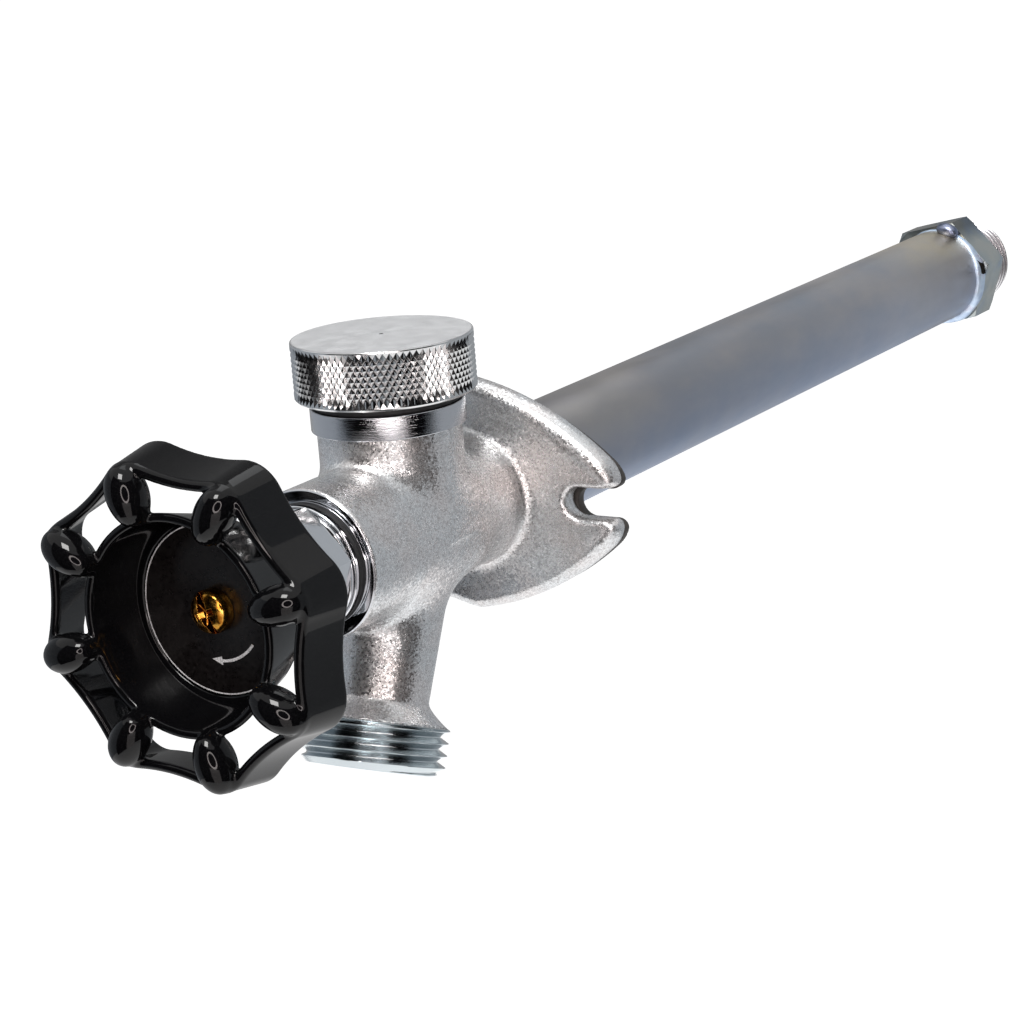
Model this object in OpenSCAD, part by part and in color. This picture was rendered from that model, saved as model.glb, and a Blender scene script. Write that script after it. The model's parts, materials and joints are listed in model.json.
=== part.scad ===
// Frost free sillcock: a long-stem wall tap whose valve seat lies at the warm end of its tube.
// Millimetres. The origin is the centre of the wall face, +Y runs into the wall and +Z is up.

/* [Tube and inlet] */
// Outside diameter of the tube
tube_d = 22.2; // [21.2:0.1:23]
// Wall thickness of the tube
tube_wall = 1; // [0.8:0.05:1.3]
// Distance from the wall face to the inner end of the tube
tube_reach = 208.6; // [140:0.2:360]
// Width across the flats of the inlet hexagon
inlet_af = 23.85; // [23.4:0.05:27]
// Length of the inlet hexagon
inlet_hex_len = 9.9; // [8:0.1:14]
// Turn of the inlet hexagon's corners away from the top
inlet_turn = 17.6; // [0:0.2:60]
// Corner bevel of the inlet hexagon
inlet_bevel = 0.9; // [0.4:0.1:1.4]
// Crest diameter of the male pipe thread
pipe_thread_d = 20.9; // [20.6:0.1:21.4]
// Length of the threaded stub beyond the hexagon
pipe_stub_len = 11.9; // [9:0.1:16]
// Pitch of the pipe thread
pipe_pitch = 1.814; // [1.4:0.001:2.2]
// Inside diameter of the solder cup in the stub
cup_d = 15.95; // [15:0.05:16.6]
// Depth of the solder cup
cup_depth = 12.7; // [9:0.1:14]
// Length of the inlet fitting's spigot inside the tube
spigot_len = 11; // [8:0.5:16]
// Diameter of the water way through the seat
seat_bore = 9.6; // [8:0.1:10.6]
// Height of the raised lip that the washer closes on
seat_lip = 1.2; // [0.8:0.1:2]
// Length of the brazed bead along the tube
bead_len = 1.9; // [1.2:0.1:3]
// Rise of the brazed bead over the tube
bead_rise = 1.3; // [0.6:0.1:1.6]

/* [Flange and wall pad] */
// Thickness of the pad behind the flange
pad_t = 2.4; // [1.6:0.1:4]
// Distance that the pad is drawn in from the flange's outline
pad_inset = 0.8; // [0:0.1:1.6]
// Width of the flange between the points that the slots cut away
flange_w = 74.4; // [70:0.2:80]
// Height of the flange
flange_h = 45; // [43:0.2:50]
// Radius of the flange's four curved sides
flange_side_r = 60; // [52:0.5:75]
// Thickness of the flange at its rim
flange_t = 5.2; // [4.4:0.1:7]
// Rounding of the flange's front edge
edge_round = 2; // [1:0.1:2.4]
// Depth of the dish in the flange's face
dish_depth = 0.7; // [0.3:0.1:1.2]
// Width of the plain rim around the dish
dish_rim = 2.4; // [2:0.1:3]
// Width of the two open screw slots
slot_w = 5.8; // [4.8:0.1:6.6]
// Distance between the round ends of the two slots
slot_pitch = 47.8; // [46:0.2:50]
// Rounding of the ears beside the slot mouths
mouth_round = 2.3; // [1.4:0.1:2.8]

/* [Casting] */
// Outside diameter of the barrel
barrel_d = 27.4; // [26.4:0.1:31]
// Length of the barrel in front of the flange
barrel_len = 49.45; // [46:0.05:62]
// Fillet between the barrel and the flange
root_fillet = 4; // [2:0.1:4.5]
// Bevel of the barrel's machined front edge
barrel_bevel = 0.5; // [0.2:0.1:1]
// Depth of the tube's socket in the casting
socket_depth = 9.6; // [7:0.1:12]
// Diameter of the water chamber in the barrel
chamber_d = 19.2; // [18:0.1:20]
// Distance from the flange face to the neck's axis
neck_set = 21.9; // [20:0.1:24]
// Diameter of the cast neck
neck_d = 26.1; // [25.6:0.1:27]
// Height of the cast neck above the barrel's axis
neck_h = 18.9; // [17.4:0.1:22]
// Diameter of the turned band at the top of the neck
band_d = 28; // [27:0.1:29]
// Height of the turned band
band_h = 4.2; // [3:0.1:6]
// Diameter of the threaded nose that the cap screws on
nose_d = 24.4; // [23.6:0.1:25]
// Height of the threaded nose
nose_h = 8.4; // [7.8:0.1:9.2]
// Bore of the breaker chamber in the neck
breaker_bore = 20.4; // [19.8:0.1:20.8]
// Height of the breaker chamber's floor above the barrel's axis
breaker_floor = 13.2; // [12.4:0.1:14]
// Diameter of the port between the barrel and the breaker chamber
port_d = 10; // [8:0.1:11]
// Height of the flared roots of the neck and the spout over the barrel
crotch_rise = 3; // [2:0.1:4]

/* [Spout] */
// Distance from the flange face to where the spout's axis meets the barrel's
spout_set = 20.85; // [19:0.05:24]
// Forward tilt of the spout
spout_tilt = 21.85; // [14:0.05:28]
// Distance from the barrel's axis to the spout's end face
spout_len = 44.6; // [42:0.1:54]
// Diameter of the spout above its flared root
spout_root_d = 20.6; // [19:0.1:21.4]
// Flare of the spout's root
spout_root_flare = 1; // [0.4:0.1:1.6]
// Diameter of the spout above its flare
spout_waist_d = 18; // [17.4:0.1:19]
// Crest diameter of the hose thread
hose_thread_d = 26.99; // [26:0.01:28]
// Pitch of the hose thread
hose_pitch = 2.209; // [1.8:0.001:2.5]
// Number of crests on the hose thread
hose_crests = 4; // [3:1:4]
// Plain length between the last crest and the end face
hose_lead = 1.76; // [1.2:0.02:2.4]
// Length of the flare above the hose thread
flare_len = 5; // [3.6:0.1:7]
// Bevel of the end face inside the thread's root
outlet_bevel = 0.4; // [0.2:0.1:0.8]
// Bore of the spout
spout_bore = 12.6; // [11:0.1:13.4]
// Bore of the outlet inside the hose thread
outlet_bore = 18.6; // [17:0.1:19.6]
// Depth of the outlet bore
outlet_depth = 11; // [8:0.1:13]

/* [Bonnet and packing] */
// Diameter of the bonnet's thread in the barrel
bonnet_d = 20.2; // [19.8:0.1:21]
// Length of the bonnet's thread in the barrel
bonnet_len = 13; // [11:0.5:14]
// Diameter of the bonnet's collar
collar_d = 22.4; // [22:0.1:24]
// Thickness of the bonnet's collar
collar_t = 1.2; // [1:0.1:2]
// Thickness of the gasket under the collar
gasket_t = 0.8; // [0.5:0.1:1.4]
// Diameter of the bonnet's outer thread
gland_thread_d = 17; // [16.6:0.1:17.6]
// Length of the bonnet's outer thread
gland_thread_len = 7.2; // [6:0.1:9]
// Thickness of the bonnet's front wall
bonnet_wall = 2.2; // [1.6:0.1:2.6]
// Thickness of the packing
packing_t = 2.6; // [2:0.1:4]
// Thickness of the gland ring
gland_t = 0.8; // [0.6:0.1:1.4]
// Width across the flats of the packing nut
nut_af = 21.3; // [20.8:0.1:23]
// Thickness of the packing nut's front wall
nut_wall = 1.8; // [1.4:0.1:2.6]
// Turn of the packing nut's corners away from the top
nut_turn = 16; // [0:1:60]
// Thickness of the round collar at the packing nut's base
nut_collar_t = 1.1; // [0.8:0.1:1.6]
// Distance that the collar stands past the packing nut's flats
nut_collar_edge = 0.4; // [0.2:0.1:1]
// Corner bevel of the packing nut
nut_bevel = 1.1; // [0.6:0.1:1.4]
// Gap between the packing nut and the bonnet's collar
nut_stand = 0.3; // [0.1:0.1:0.6]

/* [Stem] */
// Diameter of the stem where it passes the packing
stem_d = 9.5; // [9:0.1:10]
// Diameter of the stem's thread
stem_thread_d = 12.6; // [12:0.1:13]
// Length of the stem's thread
stem_thread_len = 9; // [7:0.1:10]
// Pitch of the stem's thread
stem_pitch = 2; // [1.5:0.1:2.2]
// Turns from closed to fully open
stem_turns = 3; // [2:0.25:3]
// Width across the flats of the stem's square end
square_af = 6.2; // [5.6:0.1:6.6]
// Length of the stem's square end
square_len = 8.8; // [7:0.1:9.2]
// Distance from the packing nut to the stem's square end
square_set = 0.4; // [0.2:0.1:0.5]
// Length of the sleeve that holds the rod
sleeve_len = 12; // [10:0.5:16]
// Diameter of the sleeve that holds the rod
sleeve_d = 11; // [10:0.1:12]
// Diameter of the long rod
rod_d = 6.4; // [6:0.1:7]
// Depth of the rod in the sleeve
rod_depth = 10; // [8:0.5:11]
// Diameter of the pin through the sleeve and the rod
pin_d = 2; // [1.6:0.1:2.4]
// Distance that the pin's ends lie below the sleeve's surface
pin_inset = 0.2; // [0.1:0.1:0.5]
// Number of guides along the rod
guide_count = 2; // [1:1:3]
// Length of each guide
guide_len = 8; // [6:0.5:12]
// Thickness of a guide's fins
fin_t = 1.6; // [1.2:0.1:2.4]
// Wall of a guide round the rod
guide_wall = 1.5; // [1:0.1:2]

/* [Seat washer] */
// Thickness of the seat washer
washer_t = 3.4; // [2.6:0.1:4.2]
// Diameter of the seat washer
washer_d = 14.4; // [13.6:0.1:15]
// Depth of the holder's cup
holder_cup = 2.2; // [1.6:0.1:2.4]
// Wall of the holder's cup
holder_cup_wall = 1.2; // [1:0.1:1.5]
// Length of the holder in front of its cup
holder_len = 14; // [13.5:0.5:18]
// Depth of the rod's socket in the holder
holder_socket = 9; // [8.4:0.1:9.6]
// Wall of the holder round the rod
holder_wall = 2.2; // [2:0.1:2.6]
// Thickness of the holder's wall behind the washer
holder_floor = 2; // [1.5:0.1:2.5]
// Gap between the holder's three flats and the tube
holder_flat = 1.6; // [1.2:0.1:2]
// Distance from the holder's front end to the swivel clip
clip_set = 3.6; // [3:0.1:4.5]
// Thickness of the swivel clip
clip_t = 0.9; // [0.6:0.1:1.2]
// Depth of the swivel clip in the rod and in the holder
clip_depth = 0.8; // [0.5:0.1:1]
// Diameter of the washer screw's head
washer_screw_head = 7; // [6:0.1:7.4]
// Height of the washer screw's head
washer_screw_rise = 1.8; // [1.4:0.1:2.4]
// Diameter of the washer screw's thread
washer_screw_d = 3.8; // [3:0.1:4.2]
// Length of the washer screw's thread
washer_screw_len = 6.8; // [5.4:0.1:7.2]

/* [Vacuum breaker] */
// Outside diameter of the knurled cap
cap_d = 32.96; // [31:0.02:36]
// Height of the knurled cap
cap_h = 10.7; // [10:0.1:14]
// Thickness of the cap's top
cap_top = 2; // [1.4:0.1:2.4]
// Bevel of the cap's edges
cap_bevel = 0.5; // [0.2:0.1:1]
// Thickness of the sealing ring under the cap
cap_ring_t = 1.5; // [1.1:0.1:2]
// Thickness of the breaker seat
breaker_seat_t = 3.6; // [3:0.1:4.2]
// Height of the breaker seat's lip
breaker_lip = 0.8; // [0.5:0.1:1.2]
// Width of the breaker seat's lip
breaker_lip_w = 1.2; // [0.8:0.1:1.6]
// Bore of the breaker seat
breaker_seat_bore = 9; // [8:0.1:9.8]
// Thickness of the float's rubber disc
float_seal_t = 1.6; // [1.2:0.1:2]
// Diameter of the float's rubber disc
float_seal_d = 15.6; // [14.4:0.1:16.4]
// Thickness of the float
float_t = 2.4; // [1.8:0.1:2.8]
// Lift of the float
float_lift = 2.4; // [1.6:0.1:2.6]
// Distance that the rubber disc stands past the float
float_edge = 0.5; // [0.3:0.1:0.8]
// Diameter of the float's stem
float_stem_d = 4; // [3.4:0.1:4.6]
// Thickness of the float guide
guide_plate_t = 3; // [2.4:0.1:3.4]
// Height of the float's stem above the guide when the float is down
float_stem_rise = 0.8; // [0.4:0.1:1]
// Diameter of the four vents in the float guide
vent_d = 4.4; // [3.6:0.1:4.8]
// Distance that the sealing ring lies inside the band
cap_ring_inset = 0.4; // [0.2:0.1:0.8]

/* [Handwheel] */
// Number of lobes on the handwheel
lobes = 8; // [7:1:9]
// Turn of the first lobe away from the top
wheel_turn = -15.36; // [-22:0.02:22]
// Gap between the packing nut and the handwheel's hub
hub_gap = 1; // [0.6:0.1:2]
// Diameter of the hub
hub_d = 14.4; // [13:0.1:16]
// Length of the hub behind the bowl
hub_len = 8.4; // [7.4:0.1:10]
// Thickness of the bowl's floor
bowl_floor_t = 2.4; // [2:0.1:3]
// Depth of the bowl from its lip to its floor
bowl_depth = 11.3; // [9:0.1:13]
// Inside diameter of the bowl at its floor
bowl_floor_d = 31.2; // [30.8:0.1:32]
// Inside diameter of the bowl at its lip
bowl_lip_d = 35.2; // [34.6:0.1:36]
// Bevel under the bowl's floor
bowl_bevel = 1.4; // [1:0.1:2]
// Flare of the hub where it meets the bowl
hub_root = 1.2; // [0.8:0.1:1.6]
// Draft of the hub over its length
hub_draft = 0.3; // [0.1:0.1:0.6]
// Thickness of the bowl's wall
bowl_wall = 1.8; // [1.4:0.1:2]
// Distance from the axis to the front edge of a lobe
lobe_reach = 27.8; // [26.8:0.1:29]
// Distance from the axis to the front edge of a scallop
scallop_reach = 25; // [24.2:0.1:25.4]
// Radius of a lobe's outline at its front edge
lobe_r = 5.5; // [5:0.1:7]
// Outward flare of the rim from front to back
rim_flare = 1.9; // [0.8:0.1:2.2]
// Thickness of the rim
rim_t = 2.1; // [1.7:0.1:2.4]
// Depth of the rim from front to back
rim_depth = 10; // [8:0.1:12]
// Distance from the bowl's lip forward to the rim's front edge
rim_ahead = 1; // [0:0.1:2]
// Width of an arm
arm_w = 5.7; // [5:0.1:6.4]
// Distance that an arm's domed front stands ahead of the rim
arm_rise = 3; // [2.9:0.1:4]
// Distance from the axis to an arm's inner end
arm_inner = 18.2; // [17.8:0.1:18.6]
// Distance from the axis to an arm's outer end
arm_outer = 27.9; // [27:0.1:28.4]
// Distance that an arm's back lies ahead of the rim's back edge
arm_foot = 0.6; // [0.3:0.1:1]
// Thickness of the index plate
plate_t = 0.5; // [0.4:0.1:1]
// Diameter of the index plate
plate_d = 29.8; // [28:0.1:30.2]
// Diameter of the handle screw's head
screw_head_d = 6.6; // [5.8:0.1:7.4]
// Height of the handle screw's head
screw_head_h = 2.6; // [2:0.1:3]
// Diameter of the handle screw's thread
screw_d = 4; // [3.4:0.1:4.2]
// Length of the handle screw's thread
screw_len = 8; // [6:0.1:8.4]

/* [Fits] */
// Radial clearance of a part that turns or slides
run_gap = 0.05; // [0.02:0.01:0.09]
// Radial clearance of a threaded or soldered fit
thread_gap = 0.05; // [0.03:0.01:0.1]
// Radial clearance between the guides and the tube
guide_gap = 0.2; // [0.1:0.05:0.4]
// Room beyond the end of a shaft or a float
end_gap = 0.2; // [0.1:0.05:0.3]

/* [Hidden] */
$fn = 64;
// Overlap that fuses touching forms
eps = 0.01;
// Distance that cutters run past the faces they open
past = 1;
// Depth of a thread on both sides, for each unit of its pitch
thread_cut = 1.3;
// Height of a hexagon's corner bevel, for each unit of its depth
bevel_slope = 0.6;

// Stations in front of the wall face, along the barrel's axis
flange_front = pad_t + flange_t;
flange_face = flange_front - dish_depth;
barrel_front = flange_front + barrel_len;
neck_at = flange_front + neck_set;
spout_at = flange_front + spout_set;
gasket_front = barrel_front + gasket_t;
collar_front = gasket_front + collar_t;
nose_front = collar_front + gland_thread_len;
packing_front = nose_front + packing_t;
gland_front = packing_front + gland_t;
nut_front = gland_front + nut_wall;
nut_back = collar_front + nut_stand;
hub_back = nut_front + hub_gap;
floor_back = hub_back + hub_len;
floor_front = floor_back + bowl_floor_t;
lip_front = floor_front + bowl_depth;
rim_front = lip_front + rim_ahead;
rim_back = rim_front - rim_depth;
arm_front = rim_front + arm_rise;
bonnet_back = barrel_front - bonnet_len;

// Travel of the stem and the room that its thread needs inside the bonnet
travel = stem_pitch * stem_turns;
bore_front = nose_front - bonnet_wall;
thread_front = bore_front - travel - end_gap;
thread_back = thread_front - stem_thread_len;
sleeve_back = thread_back - sleeve_len;
rod_front = sleeve_back + rod_depth;
square_back = nut_front + square_set;
square_front = square_back + square_len;

// Stations beyond the wall face, along the tube
tube_bore = tube_d - 2 * tube_wall;
spigot_end = tube_reach - spigot_len;
lip_end = spigot_end - seat_lip;
washer_back = lip_end - washer_t;
holder_end = washer_back + holder_cup;
holder_front = washer_back - holder_len;
socket_end = holder_front + holder_socket;
rod_end = socket_end - run_gap;
clip_at = holder_front + clip_set;
hex_end = tube_reach + inlet_hex_len;
inlet_end = hex_end + pipe_stub_len;

// Heights above the barrel's axis
shoulder = neck_h + band_h;
cap_foot = shoulder + cap_ring_t;
cap_crown = cap_foot + cap_h;
seat_top = breaker_floor + breaker_seat_t;
seal_foot = seat_top + breaker_lip;
float_foot = seal_foot + float_seal_t;
float_top = float_foot + float_t;
guide_foot = float_top + float_lift + end_gap;
guide_top = guide_foot + guide_plate_t;

// Curves of the flange: four equal arcs, each from the top or bottom to a side point
side_chord = sqrt(pow(flange_w / 2, 2) + pow(flange_h / 2, 2));
side_reach = sqrt(pow(flange_side_r, 2) - pow(side_chord / 2, 2));
side_x = side_reach * flange_h / 2 / side_chord - flange_w / 4;
side_z = side_reach * flange_w / 2 / side_chord - flange_h / 4;

// Curves of the handwheel: each scallop's arc is tangent to the lobes on both sides
lobe_set = lobe_reach - lobe_r;
half_pitch = 180 / lobes;
scallop_top = pow(lobe_set, 2) + pow(scallop_reach, 2) - pow(lobe_r, 2)
    - 2 * lobe_set * scallop_reach * cos(half_pitch);
scallop_r = scallop_top / (2 * (lobe_r - scallop_reach + lobe_set * cos(half_pitch)));
scallop_set = scallop_reach + scallop_r;

// Hose thread
hose_root_d = hose_thread_d - thread_cut * hose_pitch;
hose_last = spout_len - hose_lead;

// Sends an upright form towards the front, from a station in front of the wall face
module front(s = 0) {
    translate([0, -s, 0])
        rotate([90, 0, 0])
            children();
}

// Sends an upright form into the wall, from a station beyond the wall face
module inward(s = 0) {
    translate([0, s, 0])
        rotate([-90, 0, 0])
            children();
}

// Places an upright form on the neck's axis
module on_neck(z = 0) {
    translate([0, -neck_at, z])
        children();
}

// Places an upright form on the spout's axis, its height running to the outlet
module on_spout() {
    translate([0, -spout_at, 0])
        rotate([180 - spout_tilt, 0, 0])
            children();
}

// Places an upright form on the axis of the pin through the sleeve
module across_pin() {
    front((sleeve_back + rod_front) / 2)
        rotate([90, 0, 0])
            children();
}

// Ring with a square section
module ring(outer_d, inner_d, h) {
    difference() {
        cylinder(d = outer_d, h = h);
        translate([0, 0, -past])
            cylinder(d = inner_d, h = h + 2 * past);
    }
}

// Half section of a thread: a root cylinder with evenly spaced crests, the first at height z
module thread_section(crest_d, root_d, pitch, count, z) {
    flat = pitch / 8;
    for (k = [0:count - 1])
        translate([0, z + k * pitch])
            polygon([
                [root_d / 2 - past, -pitch / 2],
                [root_d / 2, -pitch / 2],
                [crest_d / 2, -flat / 2],
                [crest_d / 2, flat / 2],
                [root_d / 2, pitch / 2],
                [root_d / 2 - past, pitch / 2]
            ]);
}

// Hexagonal prism with its corners turned down by a cone at both ends
module hexagon(af, h, bevel) {
    corner_d = af / cos(30);
    drop = bevel * bevel_slope;
    intersection() {
        cylinder(d = corner_d, h = h, $fn = 6);
        union() {
            cylinder(d1 = corner_d - 2 * bevel, d2 = corner_d, h = drop);
            translate([0, 0, drop])
                cylinder(d = corner_d, h = h - 2 * drop);
            translate([0, 0, h - drop])
                cylinder(d1 = corner_d, d2 = corner_d - 2 * bevel, h = drop);
        }
    }
}

// Disc with a rounded front edge
module round_disc(r, h, edge) {
    rotate_extrude()
        union() {
            square([r - edge, h]);
            square([r, h - edge]);
            translate([r - edge, h - edge])
                circle(r = edge);
        }
}

// One of the four round plates whose overlap is the pointed oval
module side_disc(across, up, h, inset, edge) {
    translate([across * side_x, up * side_z, 0])
        if (edge > 0)
            round_disc(flange_side_r - inset, h, edge);
        else
            cylinder(r = flange_side_r - inset, h = h);
}

// Pointed oval of the flange, drawn in by inset all round
module pointed_plate(h, inset = 0, edge = 0) {
    intersection() {
        side_disc(1, 1, h, inset, edge);
        side_disc(1, -1, h, inset, edge);
        side_disc(-1, 1, h, inset, edge);
        side_disc(-1, -1, h, inset, edge);
    }
}

// The two open slots, with their mouths rounded to an outline drawn in by inset
module slots(h, inset = 0) {
    for (side = [0, 180])
        rotate([0, 0, side]) {
            translate([slot_pitch / 2, 0, -past])
                cylinder(d = slot_w, h = h + 2 * past);
            translate([slot_pitch / 2, -slot_w / 2, -past])
                cube([flange_w / 2, slot_w, h + 2 * past]);
            for (turn = [-1, 1])
                mouth(turn, h, inset);
        }
}

// Cutter that rounds an ear between a slot's side and the outline, tangent to both
module mouth(turn, h, inset) {
    rise = slot_w / 2 + mouth_round;
    side_set = side_z + rise;
    run = sqrt(pow(flange_side_r - inset - mouth_round, 2) - pow(side_set, 2)) - side_x;
    lean = atan2(side_set, side_x + run);
    far = flange_w / 2;
    translate([0, 0, -past])
        difference() {
            linear_extrude(h + 2 * past)
                polygon([
                    [run, turn * (slot_w / 2 - past)],
                    [run, turn * rise],
                    [run + far * cos(lean), turn * (rise + far * sin(lean))],
                    [run + far, turn * (slot_w / 2 - past)]
                ]);
            translate([run, turn * rise, -past])
                cylinder(r = mouth_round, h = h + 4 * past);
        }
}

// Casting: flange, barrel, neck and spout in one piece, bored and threaded
module body_casting() {
    color("silver")
        difference() {
            union() {
                casting_flange();
                casting_barrel();
                casting_neck();
                casting_spout();
            }
            casting_bores();
        }
}

module casting_flange() {
    front(pad_t)
        difference() {
            pointed_plate(flange_t, 0, edge_round);
            translate([0, 0, flange_t - dish_depth])
                pointed_plate(flange_t, dish_rim);
            slots(flange_t);
        }
}

module casting_barrel() {
    front()
        rotate_extrude()
            union() {
                translate([0, pad_t])
                    square([barrel_d / 2, barrel_front - pad_t - barrel_bevel]);
                polygon([
                    [0, barrel_front - barrel_bevel],
                    [barrel_d / 2, barrel_front - barrel_bevel],
                    [barrel_d / 2 - barrel_bevel, barrel_front],
                    [0, barrel_front]
                ]);
                difference() {
                    translate([barrel_d / 2 - past, flange_face - eps])
                        square([root_fillet + past, root_fillet + eps]);
                    translate([barrel_d / 2 + root_fillet, flange_face + root_fillet])
                        circle(r = root_fillet);
                }
            }
}

module casting_neck() {
    on_neck() {
        cylinder(d = neck_d, h = neck_h);
        cylinder(d1 = barrel_d, d2 = neck_d, h = barrel_d / 2 + crotch_rise);
        translate([0, 0, neck_h])
            cylinder(d = band_d, h = band_h);
        cylinder(d = nose_d, h = shoulder + nose_h);
    }
}

module casting_spout() {
    first_crest = hose_last - (hose_crests - 1) * hose_pitch;
    on_spout()
        rotate_extrude()
            union() {
                polygon([
                    [0, 0],
                    [spout_root_d / 2 + spout_root_flare, 0],
                    [spout_root_d / 2 + spout_root_flare, barrel_d / 2 - crotch_rise],
                    [spout_root_d / 2, barrel_d / 2 + crotch_rise],
                    [spout_waist_d / 2, first_crest - flare_len],
                    [hose_thread_d / 2, first_crest],
                    [hose_root_d / 2, first_crest],
                    [hose_root_d / 2, hose_last],
                    [0, hose_last]
                ]);
                thread_section(hose_thread_d, hose_root_d, hose_pitch, hose_crests, first_crest);
                polygon([
                    [0, hose_last],
                    [hose_thread_d / 2, hose_last],
                    [hose_root_d / 2 - outlet_bevel, spout_len],
                    [0, spout_len]
                ]);
            }
}

module casting_bores() {
    front(-past)
        cylinder(d = tube_d + 2 * thread_gap, h = pad_t + socket_depth + past);
    front(pad_t)
        cylinder(d = chamber_d, h = barrel_front - pad_t + past);
    front(bonnet_back - past)
        cylinder(d = bonnet_d + 2 * thread_gap, h = bonnet_len + 2 * past);
    on_neck()
        cylinder(d = port_d, h = breaker_floor + past);
    on_neck(breaker_floor)
        cylinder(d = breaker_bore, h = neck_h + nose_h);
    on_spout() {
        cylinder(d = spout_bore, h = spout_len + past);
        translate([0, 0, spout_len - outlet_depth])
            cylinder(d = outlet_bore, h = outlet_depth + past);
    }
}

// Pad between the flange and the wall
module wall_pad() {
    color("dimgray")
        front()
            difference() {
                pointed_plate(pad_t, pad_inset);
                slots(pad_t, pad_inset);
                translate([0, 0, -past])
                    cylinder(d = tube_d + 4 * thread_gap, h = pad_t + 2 * past);
            }
}

// Copper tube, soldered into the casting and brazed to the inlet fitting
module tube() {
    color("slategray")
        inward(-pad_t - socket_depth)
            ring(tube_d, tube_bore, tube_reach + pad_t + socket_depth);
}

// Inlet fitting: seat and spigot inside the tube, hexagon, pipe thread and solder cup
module inlet_fitting() {
    root_d = pipe_thread_d - thread_cut * pipe_pitch;
    relief = 1.6;
    lead = 1;
    lip_w = 0.7;
    lip_slope = 0.8;
    crests = floor((pipe_stub_len - relief - lead) / pipe_pitch);
    first_crest = hex_end + relief + pipe_pitch / 2;
    color("lightslategray")
        difference() {
            union() {
                inward(spigot_end)
                    cylinder(d = tube_bore - 2 * thread_gap, h = spigot_len + past);
                inward(lip_end)
                    cylinder(
                        d1 = seat_bore + 2 * lip_w,
                        d2 = seat_bore + 2 * (lip_w + lip_slope),
                        h = seat_lip + eps
                    );
                inward(tube_reach)
                    rotate([0, 0, inlet_turn - 90])
                        hexagon(inlet_af, inlet_hex_len, inlet_bevel);
                inward()
                    rotate_extrude()
                        union() {
                            translate([0, hex_end - past])
                                square([root_d / 2, pipe_stub_len + past]);
                            thread_section(pipe_thread_d, root_d, pipe_pitch, crests, first_crest);
                        }
            }
            inward(lip_end - past)
                cylinder(d = seat_bore, h = inlet_end - lip_end + 2 * past);
            inward(inlet_end - cup_depth)
                cylinder(d = cup_d, h = cup_depth + past);
        }
}

// Brazed bead where the tube meets the hexagon
module braze_bead() {
    color("lightsteelblue")
        inward(tube_reach - bead_len)
            rotate_extrude()
                polygon([
                    for (turn = [0:15:90])
                        [tube_d / 2 + bead_rise * sin(turn), bead_len * (1 - cos(turn))],
                    [tube_d / 2, bead_len]
                ]);
}

// Bonnet: guides the stem's thread, closes the barrel and carries the packing nut
module bonnet() {
    color("gainsboro")
        difference() {
            union() {
                front(bonnet_back)
                    cylinder(d = bonnet_d, h = gasket_front - bonnet_back);
                front(gasket_front)
                    cylinder(d = collar_d, h = collar_t);
                front(gasket_front)
                    cylinder(d = gland_thread_d, h = nose_front - gasket_front);
            }
            front(bonnet_back - past)
                cylinder(d = stem_thread_d + 2 * run_gap, h = bore_front - bonnet_back + past);
            front(bore_front - past)
                cylinder(d = stem_d + 2 * run_gap, h = bonnet_wall + 2 * past);
        }
}

// Gasket under the bonnet's collar
module bonnet_gasket() {
    color("black")
        front(barrel_front)
            ring(collar_d, bonnet_d + 2 * thread_gap, gasket_t);
}

// Packing that seals the stem
module packing() {
    color("black")
        front(nose_front)
            ring(gland_thread_d, stem_d + 2 * run_gap, packing_t);
}

// Ring that spreads the nut's load over the packing
module gland_ring() {
    color("goldenrod")
        front(packing_front)
            ring(gland_thread_d, stem_d + 2 * run_gap, gland_t);
}

// Packing nut, screwed over the bonnet's outer thread
module packing_nut() {
    color("gainsboro")
        difference() {
            union() {
                front(nut_back)
                    cylinder(d = nut_af + 2 * nut_collar_edge, h = nut_collar_t);
                front(nut_back + nut_collar_t)
                    rotate([0, 0, 90 - nut_turn])
                        hexagon(nut_af, nut_front - nut_back - nut_collar_t, nut_bevel);
            }
            front(nut_back - past)
                cylinder(d = gland_thread_d + 2 * thread_gap, h = gland_front - nut_back + past);
            front(gland_front - past)
                cylinder(d = stem_d + 4 * run_gap, h = nut_wall + 2 * past);
        }
}

// Seat that the float rests on, screwed into the neck
module breaker_seat() {
    color("goldenrod")
        on_neck(breaker_floor)
            difference() {
                union() {
                    cylinder(d = breaker_bore - 2 * thread_gap, h = breaker_seat_t);
                    cylinder(d = breaker_seat_bore + 2 * breaker_lip_w, h = breaker_seat_t + breaker_lip);
                }
                translate([0, 0, -past])
                    cylinder(d = breaker_seat_bore, h = breaker_seat_t + breaker_lip + 2 * past);
            }
}

// Plate above the float: guides the float's stem and lets air in
module float_guide() {
    vent_set = (breaker_bore + float_stem_d) / 4;
    color("goldenrod")
        on_neck(guide_foot)
            difference() {
                cylinder(d = breaker_bore - 2 * thread_gap, h = guide_plate_t);
                translate([0, 0, -past])
                    cylinder(d = float_stem_d + 2 * run_gap, h = guide_plate_t + 2 * past);
                for (k = [0:3])
                    rotate([0, 0, 45 + 90 * k])
                        translate([vent_set, 0, -past])
                            cylinder(d = vent_d, h = guide_plate_t + 2 * past);
            }
}

// Knurled cap over the breaker
module breaker_cap() {
    color("whitesmoke")
        on_neck(cap_foot)
            difference() {
                rotate_extrude()
                    polygon([
                        [0, 0],
                        [cap_d / 2 - cap_bevel, 0],
                        [cap_d / 2, cap_bevel],
                        [cap_d / 2, cap_h - cap_bevel],
                        [cap_d / 2 - cap_bevel, cap_h],
                        [0, cap_h]
                    ]);
                translate([0, 0, -past])
                    cylinder(d = nose_d + 2 * thread_gap, h = cap_h - cap_top + past);
            }
}

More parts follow.
